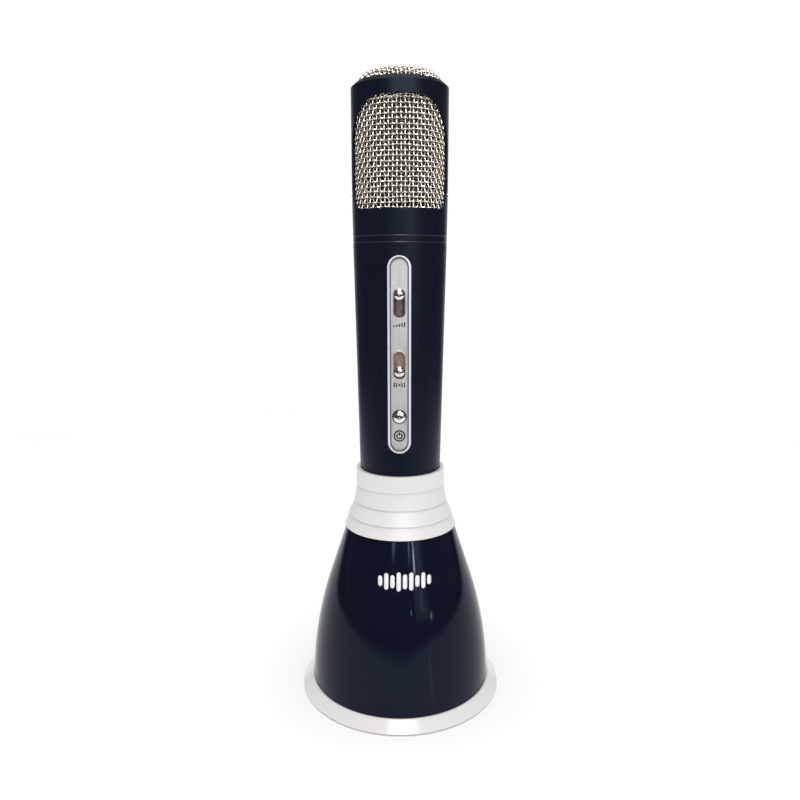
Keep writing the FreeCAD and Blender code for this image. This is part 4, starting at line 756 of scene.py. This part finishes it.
def washer(place, y, inner, outer, low, high, steps=64):
    """A flat ring round a point on the middle line, with a chamfered inner edge."""
    chamfer = (high - low) * 0.3
    profile = (
        (inner, low), (outer, low), (outer, high), (inner + chamfer, high), (inner, high - chamfer),
    )
    points, faces = [], []
    for i in range(steps):
        angle = math.tau * i / steps
        points += [place(r * math.cos(angle), y + r * math.sin(angle), lift) for r, lift in profile]
    sides = len(profile)
    for i in range(steps):
        here, there = i * sides, (i + 1) % steps * sides
        for a in range(sides):
            b = (a + 1) % sides
            faces.append((here + a, here + b, there + b, there + a))
    return points, faces


def pip(place, x, y, wide, tall, base, height, rings=6, steps=24):
    """A small smooth bump on the surface."""
    points, faces = [], []
    for ring in range(rings):
        share = ring / rings * math.pi / 2
        for i in range(steps):
            angle = math.tau * i / steps
            across = wide * math.cos(share) * math.cos(angle)
            along = tall * math.cos(share) * math.sin(angle)
            points.append(place(x + across, y + along, base + height * math.sin(share)))
    top = len(points)
    points.append(place(x, y, base + height))
    for ring in range(rings - 1):
        here, there = ring * steps, (ring + 1) * steps
        for i in range(steps):
            j = (i + 1) % steps
            faces.append((here + i, here + j, there + j, there + i))
    last = (rings - 1) * steps
    faces += [(last + i, last + (i + 1) % steps, top) for i in range(steps)]
    faces.append(list(range(steps))[::-1])
    return points, faces


def stroke(place, path, width, lift, closed=False):
    """A stroke of even width."""
    return ribbon(place, path, [width / 2] * len(path), lift, closed)


PRINT_LIFT = 0.02 * MM
TRAVEL = 6.7 * MM
ECHO_REST = 1.0 * MM
panel = Flat("control_panel")
power_y = along_strip("power_button") - panel.middle
volume_low_y = along_strip("volume_knob") - TRAVEL - panel.middle
echo_low_y = along_strip("echo_knob") - ECHO_REST - panel.middle


def power_mark(y):
    """The usual power symbol in a ring."""
    ring = stroke(panel, arc(0, y, 2.05 * MM, 0, 360)[:-1], 0.56 * MM, PRINT_LIFT, closed=True)
    broken = stroke(panel, arc(0, y, 1.05 * MM, 125, 415), 0.54 * MM, PRINT_LIFT)
    stem = stroke(panel, [(0, y + rise * MM) for rise in (0.1, 0.8, 1.45)], 0.54 * MM, PRINT_LIFT)
    return joined([ring, broken, stem])


def volume_mark(y):
    """A row of bars that grow to the right."""
    bars = []
    foot = y - 0.85 * MM
    for i in range(5):
        x, height = (i - 2) * 0.98 * MM, (0.55 + 0.29 * i) * MM
        bars.append(stroke(panel, [(x, foot), (x, foot + height)], 0.50 * MM, PRINT_LIFT))
    return joined(bars)


def echo_mark(y):
    """A dot with arcs that spread from it to both sides."""
    spot = stroke(panel, arc(0, y, 0.20 * MM, 0, 360, 16)[:-1], 0.40 * MM, PRINT_LIFT, closed=True)
    waves = []
    for facing in (0, 180):
        for radius, span in ((1.10, 44), (2.05, 28)):
            waves.append(stroke(
                panel, arc(0, y, radius * MM, facing - span, facing + span, 14), 0.44 * MM, PRINT_LIFT
            ))
    return joined([spot, *waves])


piece("power_mark", *power_mark(power_y - 7.6 * MM), PRINT_GREY, "panel_silver")
piece("volume_mark", *volume_mark(volume_low_y - 4.6 * MM), PRINT_GREY, "panel_silver")
piece("echo_mark", *echo_mark(echo_low_y - 4.15 * MM), PRINT_GREY, "panel_silver")


RIM_RADIUS = 0.2 * MM
SLOT_HALF_WIDTH = 2.05 * MM


def slot_rim(low_y, high_y, half_width, radius):
    """A bright wire-like lip round a slider's slot."""
    path = arc(0, high_y, half_width, 0, 180, 24) + arc(0, low_y, half_width, 180, 360, 24)
    points = np.array([panel(x, y, 0.0) for x, y in path])
    outward = np.tile(np.array(panel.out), (len(points), 1))
    return tube(points, outward, radius, 8, closed=True)


for name, low_y in (("volume_slot_rim", volume_low_y), ("echo_slot_rim", echo_low_y)):
    piece(
        name, *slot_rim(low_y, low_y + TRAVEL, SLOT_HALF_WIDTH + RIM_RADIUS, RIM_RADIUS),
        RIM_BRIGHT, "bezel_silver",
    )


SHUTTER_BACK, SHUTTER_FRONT = -1.66 * MM, -1.59 * MM
SHUTTER_REACH = 8.3 * MM


def shutter(knob, half_width):
    """A thin blind behind the panel that slides with a knob and covers its slot."""
    y = along_strip(knob) - panel.middle
    cut = 0.4 * MM
    inner = half_width - cut
    low, high = y - SHUTTER_REACH, y + SHUTTER_REACH
    outline = [
        (-inner, low), (inner, low), (half_width, low + cut), (half_width, high - cut),
        (inner, high), (-inner, high), (-half_width, high - cut), (-half_width, low + cut),
    ]
    return slab(panel, outline, SHUTTER_BACK, SHUTTER_FRONT)


piece(
    "volume_shutter", *shutter("volume_knob", 1.25 * MM),
    SHUTTER_RED, "wafer_brown", body="volume_slider", crease=30,
)
piece(
    "echo_shutter", *shutter("echo_knob", 2.6 * MM),
    SHUTTER_TAN, "wafer_brown", body="echo_slider", crease=30,
)
piece(
    "button_seal", *washer(panel, power_y, 2.46 * MM, 2.84 * MM, -1.25 * MM, -0.35 * MM),
    LOOKS["rubber_black"], "rubber_black", crease=30,
)


def bezel_glint_pips():
    """Small bright pips on the slope of the bezel, one pair beside each knob's resting place; they stand
    in for glints of light there, a painted highlight.
    """
    parts = []
    for knob in ("volume_knob", "echo_knob"):
        y = along_strip(knob) - panel.middle
        for side in (-1, 1):
            parts.append(pip(panel, side * 3.72 * MM, y, 0.40 * MM, 0.55 * MM, 0.10 * MM, 0.75 * MM))
    return joined(parts)


piece("bezel_glint_pips", *bezel_glint_pips(), RIM_BRIGHT, "bezel_silver")


SEAM_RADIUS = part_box("handle_tube")[1].x - 0.14 * MM
BEAD_RADIUS = 0.19 * MM
BEAD_STEPS = 240


def seam_bead(height):
    """A fine polished bead in a seam round the handle."""
    angle = np.arange(BEAD_STEPS) * math.tau / BEAD_STEPS
    out = np.stack([np.cos(angle), np.sin(angle), np.zeros(BEAD_STEPS)], axis=1)
    path = out * SEAM_RADIUS
    path[:, 2] = height
    return tube(path, out, BEAD_RADIUS, 12, closed=True)


piece("seam_bead_high", *seam_bead(188.5 * MM), SEAM_GLOSS, "navy_gloss")
piece("seam_bead_low", *seam_bead(186.1 * MM), SEAM_GLOSS, "navy_gloss")


BARS_TALL = (0.55, 0.86, 0.68, 1.0, 0.78, 0.94, 0.60, 0.82, 0.50)


def bell_mark():
    """A printed row of sound-level bars, wrapped on to the bell."""
    bell = Bell("bell_shell")
    pitch, half_width, tallest = 2.45 * MM, 0.86 * MM, 6.9 * MM
    middle_x, middle_z = 2.3 * MM, 56.6 * MM
    bars = []
    for i, share in enumerate(BARS_TALL):
        x = middle_x + (i - (len(BARS_TALL) - 1) / 2) * pitch
        bars.append(bar(bell, x, middle_z, tallest * share, half_width, 0.04 * MM))
    return joined(bars)


piece("bell_mark", *bell_mark(), PRINT_WHITE, "white_gloss")


# ---------------------------------------------------------------- studio

AIM = (0.0, 0.0, 0.15)
ROOM_WHITE = 0.78
ROOM_DIM = 0.10
FLOOR_REACH = 0.6
FLOOR_SIDES = 96
FLOOR_Z = -0.00002
FLOOR_GLOW = 0.14
CAMERA_LENS = 32.67
CAMERA_AWAY = 0.2914
CAMERA_HEIGHT = 0.1784
CAMERA_TILT = 10.69
CAMERA_TURN = 1.0
CAMERA_ROLL = 0.06


def floor():
    """A round pale table top, lit a little from below so that it blends into the backdrop."""
    mesh = bpy.data.meshes.new("floor")
    turns = [math.tau * i / FLOOR_SIDES for i in range(FLOOR_SIDES)]
    rim = [(FLOOR_REACH * math.cos(turn), FLOOR_REACH * math.sin(turn), FLOOR_Z) for turn in turns]
    mesh.from_pydata(rim, [], [tuple(range(FLOOR_SIDES))])
    look = Finish("floor", roughness=0.8, specular_ior_level=0.1)
    look.set("Base Color", look.blend(look.noise(0.4, 2.0), (0.88, 0.88, 0.88), (0.91, 0.91, 0.91)))
    look.set("Emission Color", (1.0, 1.0, 1.0))
    look.set("Emission Strength", FLOOR_GLOW)
    mesh.materials.append(look.material)
    table = bpy.data.objects.new("floor", mesh)
    bpy.context.scene.collection.objects.link(table)


def card(name, near, far, strength, fade, height=0.0004):
    """A soft-edged card flat on the table from a near line of (bearing, distance) to a far one.
    Only mirror reflections see it: a painted reflection, dark or glowing, of what stands round the
    table, seen in the gloss."""
    rows = 8
    points, cover = [], []
    for row in range(rows + 1):
        share = row / rows
        for (start, close), (end, away) in zip(near, far):
            reach = close + (away - close) * share ** 2
            around = math.radians(start + (end - start) * share)
            points.append((reach * math.sin(around), -reach * math.cos(around), height))
            cover.append(min(share * fade[0], (1 - share) * fade[1], 1.0))
    wide = len(near)
    faces = [
        (row * wide + i, row * wide + i + 1, (row + 1) * wide + i + 1, (row + 1) * wide + i)
        for row in range(rows) for i in range(wide - 1)
    ]
    mesh = bpy.data.meshes.new(name)
    mesh.from_pydata(points, [], faces)
    mesh.attributes.new("cover", "FLOAT", "POINT").data.foreach_set("value", cover)
    look = Finish(name, roughness=1.0, specular_ior_level=0.0)
    solid = look.node("Attribute", "Fac", attribute_name="cover")
    mottle = look.spread(look.noise(0.05, 3.0), 0.2, 0.8, 0.92, 1.0)
    look.set("Base Color", (0.003, 0.003, 0.004))
    look.set("Emission Color", (1.0, 1.0, 1.0))
    look.set("Emission Strength", strength)
    look.set("Alpha", look.maths("MULTIPLY", solid, mottle))
    mesh.materials.append(look.material)
    sheet = bpy.data.objects.new(name, mesh)
    sheet.visible_camera = False
    sheet.visible_diffuse = False
    sheet.visible_shadow = False
    sheet.visible_transmission = False
    bpy.context.scene.collection.objects.link(sheet)


def lamp(name, azimuth, elevation, width, height, radiance, distance=1.2, sheen_only=False):
    """A rectangular studio light that the camera doesn't see, by its bearing from the part's front.
    A sheen-only light shows in reflections and adds no soft light."""
    light = bpy.data.lights.new(name, "AREA")
    light.shape = "RECTANGLE"
    light.size, light.size_y = width, height
    light.energy = radiance * math.pi * width * height
    source = bpy.data.objects.new(name, light)
    around, up = math.radians(azimuth), math.radians(elevation)
    away = Vector((math.cos(up) * math.sin(around), -math.cos(up) * math.cos(around), math.sin(up)))
    source.location = Vector(AIM) + away * distance
    source.rotation_mode = "QUATERNION"
    source.rotation_quaternion = (-away).to_track_quat("-Z", "Y")
    source.visible_camera = False
    source.visible_diffuse = not sheen_only
    bpy.context.scene.collection.objects.link(source)


def surroundings():
    """A white backdrop for the camera, an even white room for soft light, and a dim room with a
    bright ceiling and back wall for mirror reflections."""
    world = bpy.data.worlds.new("studio")
    world.use_nodes = True
    nodes, links = world.node_tree.nodes, world.node_tree.links
    nodes.clear()
    direction = nodes.new("ShaderNodeTexCoord")
    parts = nodes.new("ShaderNodeSeparateXYZ")
    links.new(direction.outputs["Generated"], parts.inputs[0])

    def step(operation, first, second):
        node = nodes.new("ShaderNodeMath")
        node.operation = operation
        for socket, value in zip(node.inputs, (first, second)):
            if isinstance(value, bpy.types.NodeSocket):
                links.new(value, socket)
            else:
                socket.default_value = value
        return node.outputs[0]

    def fade(value, low, high, to_low, to_high):
        node = nodes.new("ShaderNodeMapRange")
        node.interpolation_type = "SMOOTHSTEP"
        links.new(value, node.inputs["Value"])
        limits = {"From Min": low, "From Max": high, "To Min": to_low, "To Max": to_high}
        for socket, number in limits.items():
            node.inputs[socket].default_value = number
        return node.outputs["Result"]

    def background(strength):
        node = nodes.new("ShaderNodeBackground")
        node.inputs["Color"].default_value = (1.0, 1.0, 1.0, 1.0)
        if isinstance(strength, bpy.types.NodeSocket):
            links.new(strength, node.inputs["Strength"])
        else:
            node.inputs["Strength"].default_value = strength
        return node.outputs[0]

    def choose(factor, first, second):
        node = nodes.new("ShaderNodeMixShader")
        for socket, output in zip(node.inputs, (factor, first, second)):
            links.new(output, socket)
        return node.outputs[0]

    _, y, z = parts.outputs
    behind = fade(y, 0.72, 0.94, 0.0, 0.95)
    above = fade(z, 0.60, 0.92, 0.0, 0.55)
    mirrored = step("MAXIMUM", behind, step("MAXIMUM", above, ROOM_DIM))
    ray = nodes.new("ShaderNodeLightPath").outputs
    room = choose(ray["Is Glossy Ray"], background(ROOM_WHITE), background(mirrored))
    output = nodes.new("ShaderNodeOutputWorld")
    links.new(choose(ray["Is Camera Ray"], room, background(1.05)), output.inputs["Surface"])
    bpy.context.scene.world = world


def camera():
    """The viewpoint: a little above the middle of the part, close to it, and tilted down."""
    lens = bpy.data.cameras.new("camera")
    lens.lens = CAMERA_LENS
    lens.sensor_width = 36.0
    lens.clip_start = 0.01
    lens.clip_end = 50.0
    viewer = bpy.data.objects.new("camera", lens)
    turn = math.radians(CAMERA_TURN)
    viewer.location = (CAMERA_AWAY * math.sin(turn), -CAMERA_AWAY * math.cos(turn), CAMERA_HEIGHT)
    viewer.rotation_euler = (math.radians(90 - CAMERA_TILT), math.radians(CAMERA_ROLL), turn)
    bpy.context.scene.collection.objects.link(viewer)
    bpy.context.scene.camera = viewer


# Bearing from the front in degrees, and distance, where the lit table gives way to a black card, the
# painted dark reflection of the room round it.
TABLE_EDGE = (
    (-142, 0.42), (-130, 0.42), (-116, 0.42), (-101, 0.385), (-84, 0.37), (-67, 0.335),
    (-47, 0.27), (-30, 0.20), (-12, 0.155), (4, 0.125), (17, 0.175), (30, 0.24), (44, 0.33),
    (63, 0.415), (82, 0.45), (99, 0.48), (118, 0.46), (130, 0.46), (142, 0.46),
)
DARK_REACH = 1.6
# The glowing patch on the table, a painted reflection of a window's glare up into the bell: its near
# line and its far line.
GLARE_NEAR = [(bearing, 0.055) for bearing in (26.6, 27.3, 28.0, 28.7)]
GLARE_FAR = [(bearing, 0.38) for bearing in (38.4, 39.5, 40.5, 41.6)]
floor()
dark_far = [(bearing, DARK_REACH) for bearing, _ in TABLE_EDGE]
# A black card only reflections see: a painted dark reflection of the room round the table.
card("painted_dark_surround", TABLE_EDGE, dark_far, 0.0, (3.0, 50.0))
# A glowing card only reflections see: a painted reflection of a window's glare in the bell.
card("painted_window_glare", GLARE_NEAR, GLARE_FAR, 2.0, (5.0, 2.0), height=0.0007)
surroundings()
lamp("overhead", 0, 84, 1.2, 1.0, 1.2)
lamp("strip_left", -12, 14, 0.10, 0.18, 5.0)
lamp("strip_right", 32, 5, 0.42, 0.34, 0.8)
lamp("strip_bright", 33, 7, 0.12, 0.30, 1.2)
lamp("window", 11, 22, 1.2, 0.40, 3.8, sheen_only=True)
lamp("key", 6, 52, 0.55, 0.35, 2.4)
lamp("key_sheen", 4, 50, 0.50, 0.80, 6.5, sheen_only=True)
lamp("ring_light", 8, 66, 0.05, 0.10, 12.0)
# Small bright lights for the glints: bearing, elevation, width, height and radiance.
SPARKS = (
    (25.3, 8.6, 0.045, 0.05, 45.0),
    (17.0, 10.4, 0.035, 0.03, 22.0),
    (16.2, 1.1, 0.04, 0.035, 10.0),
    (45.0, -2.9, 0.045, 0.05, 14.0),
)
for number, (bearing, rise, wide, tall, radiance) in enumerate(SPARKS):
    lamp(f"spark_{number}", bearing, rise, wide, tall, radiance)
camera()
bpy.context.scene.view_settings.view_transform = "Standard"
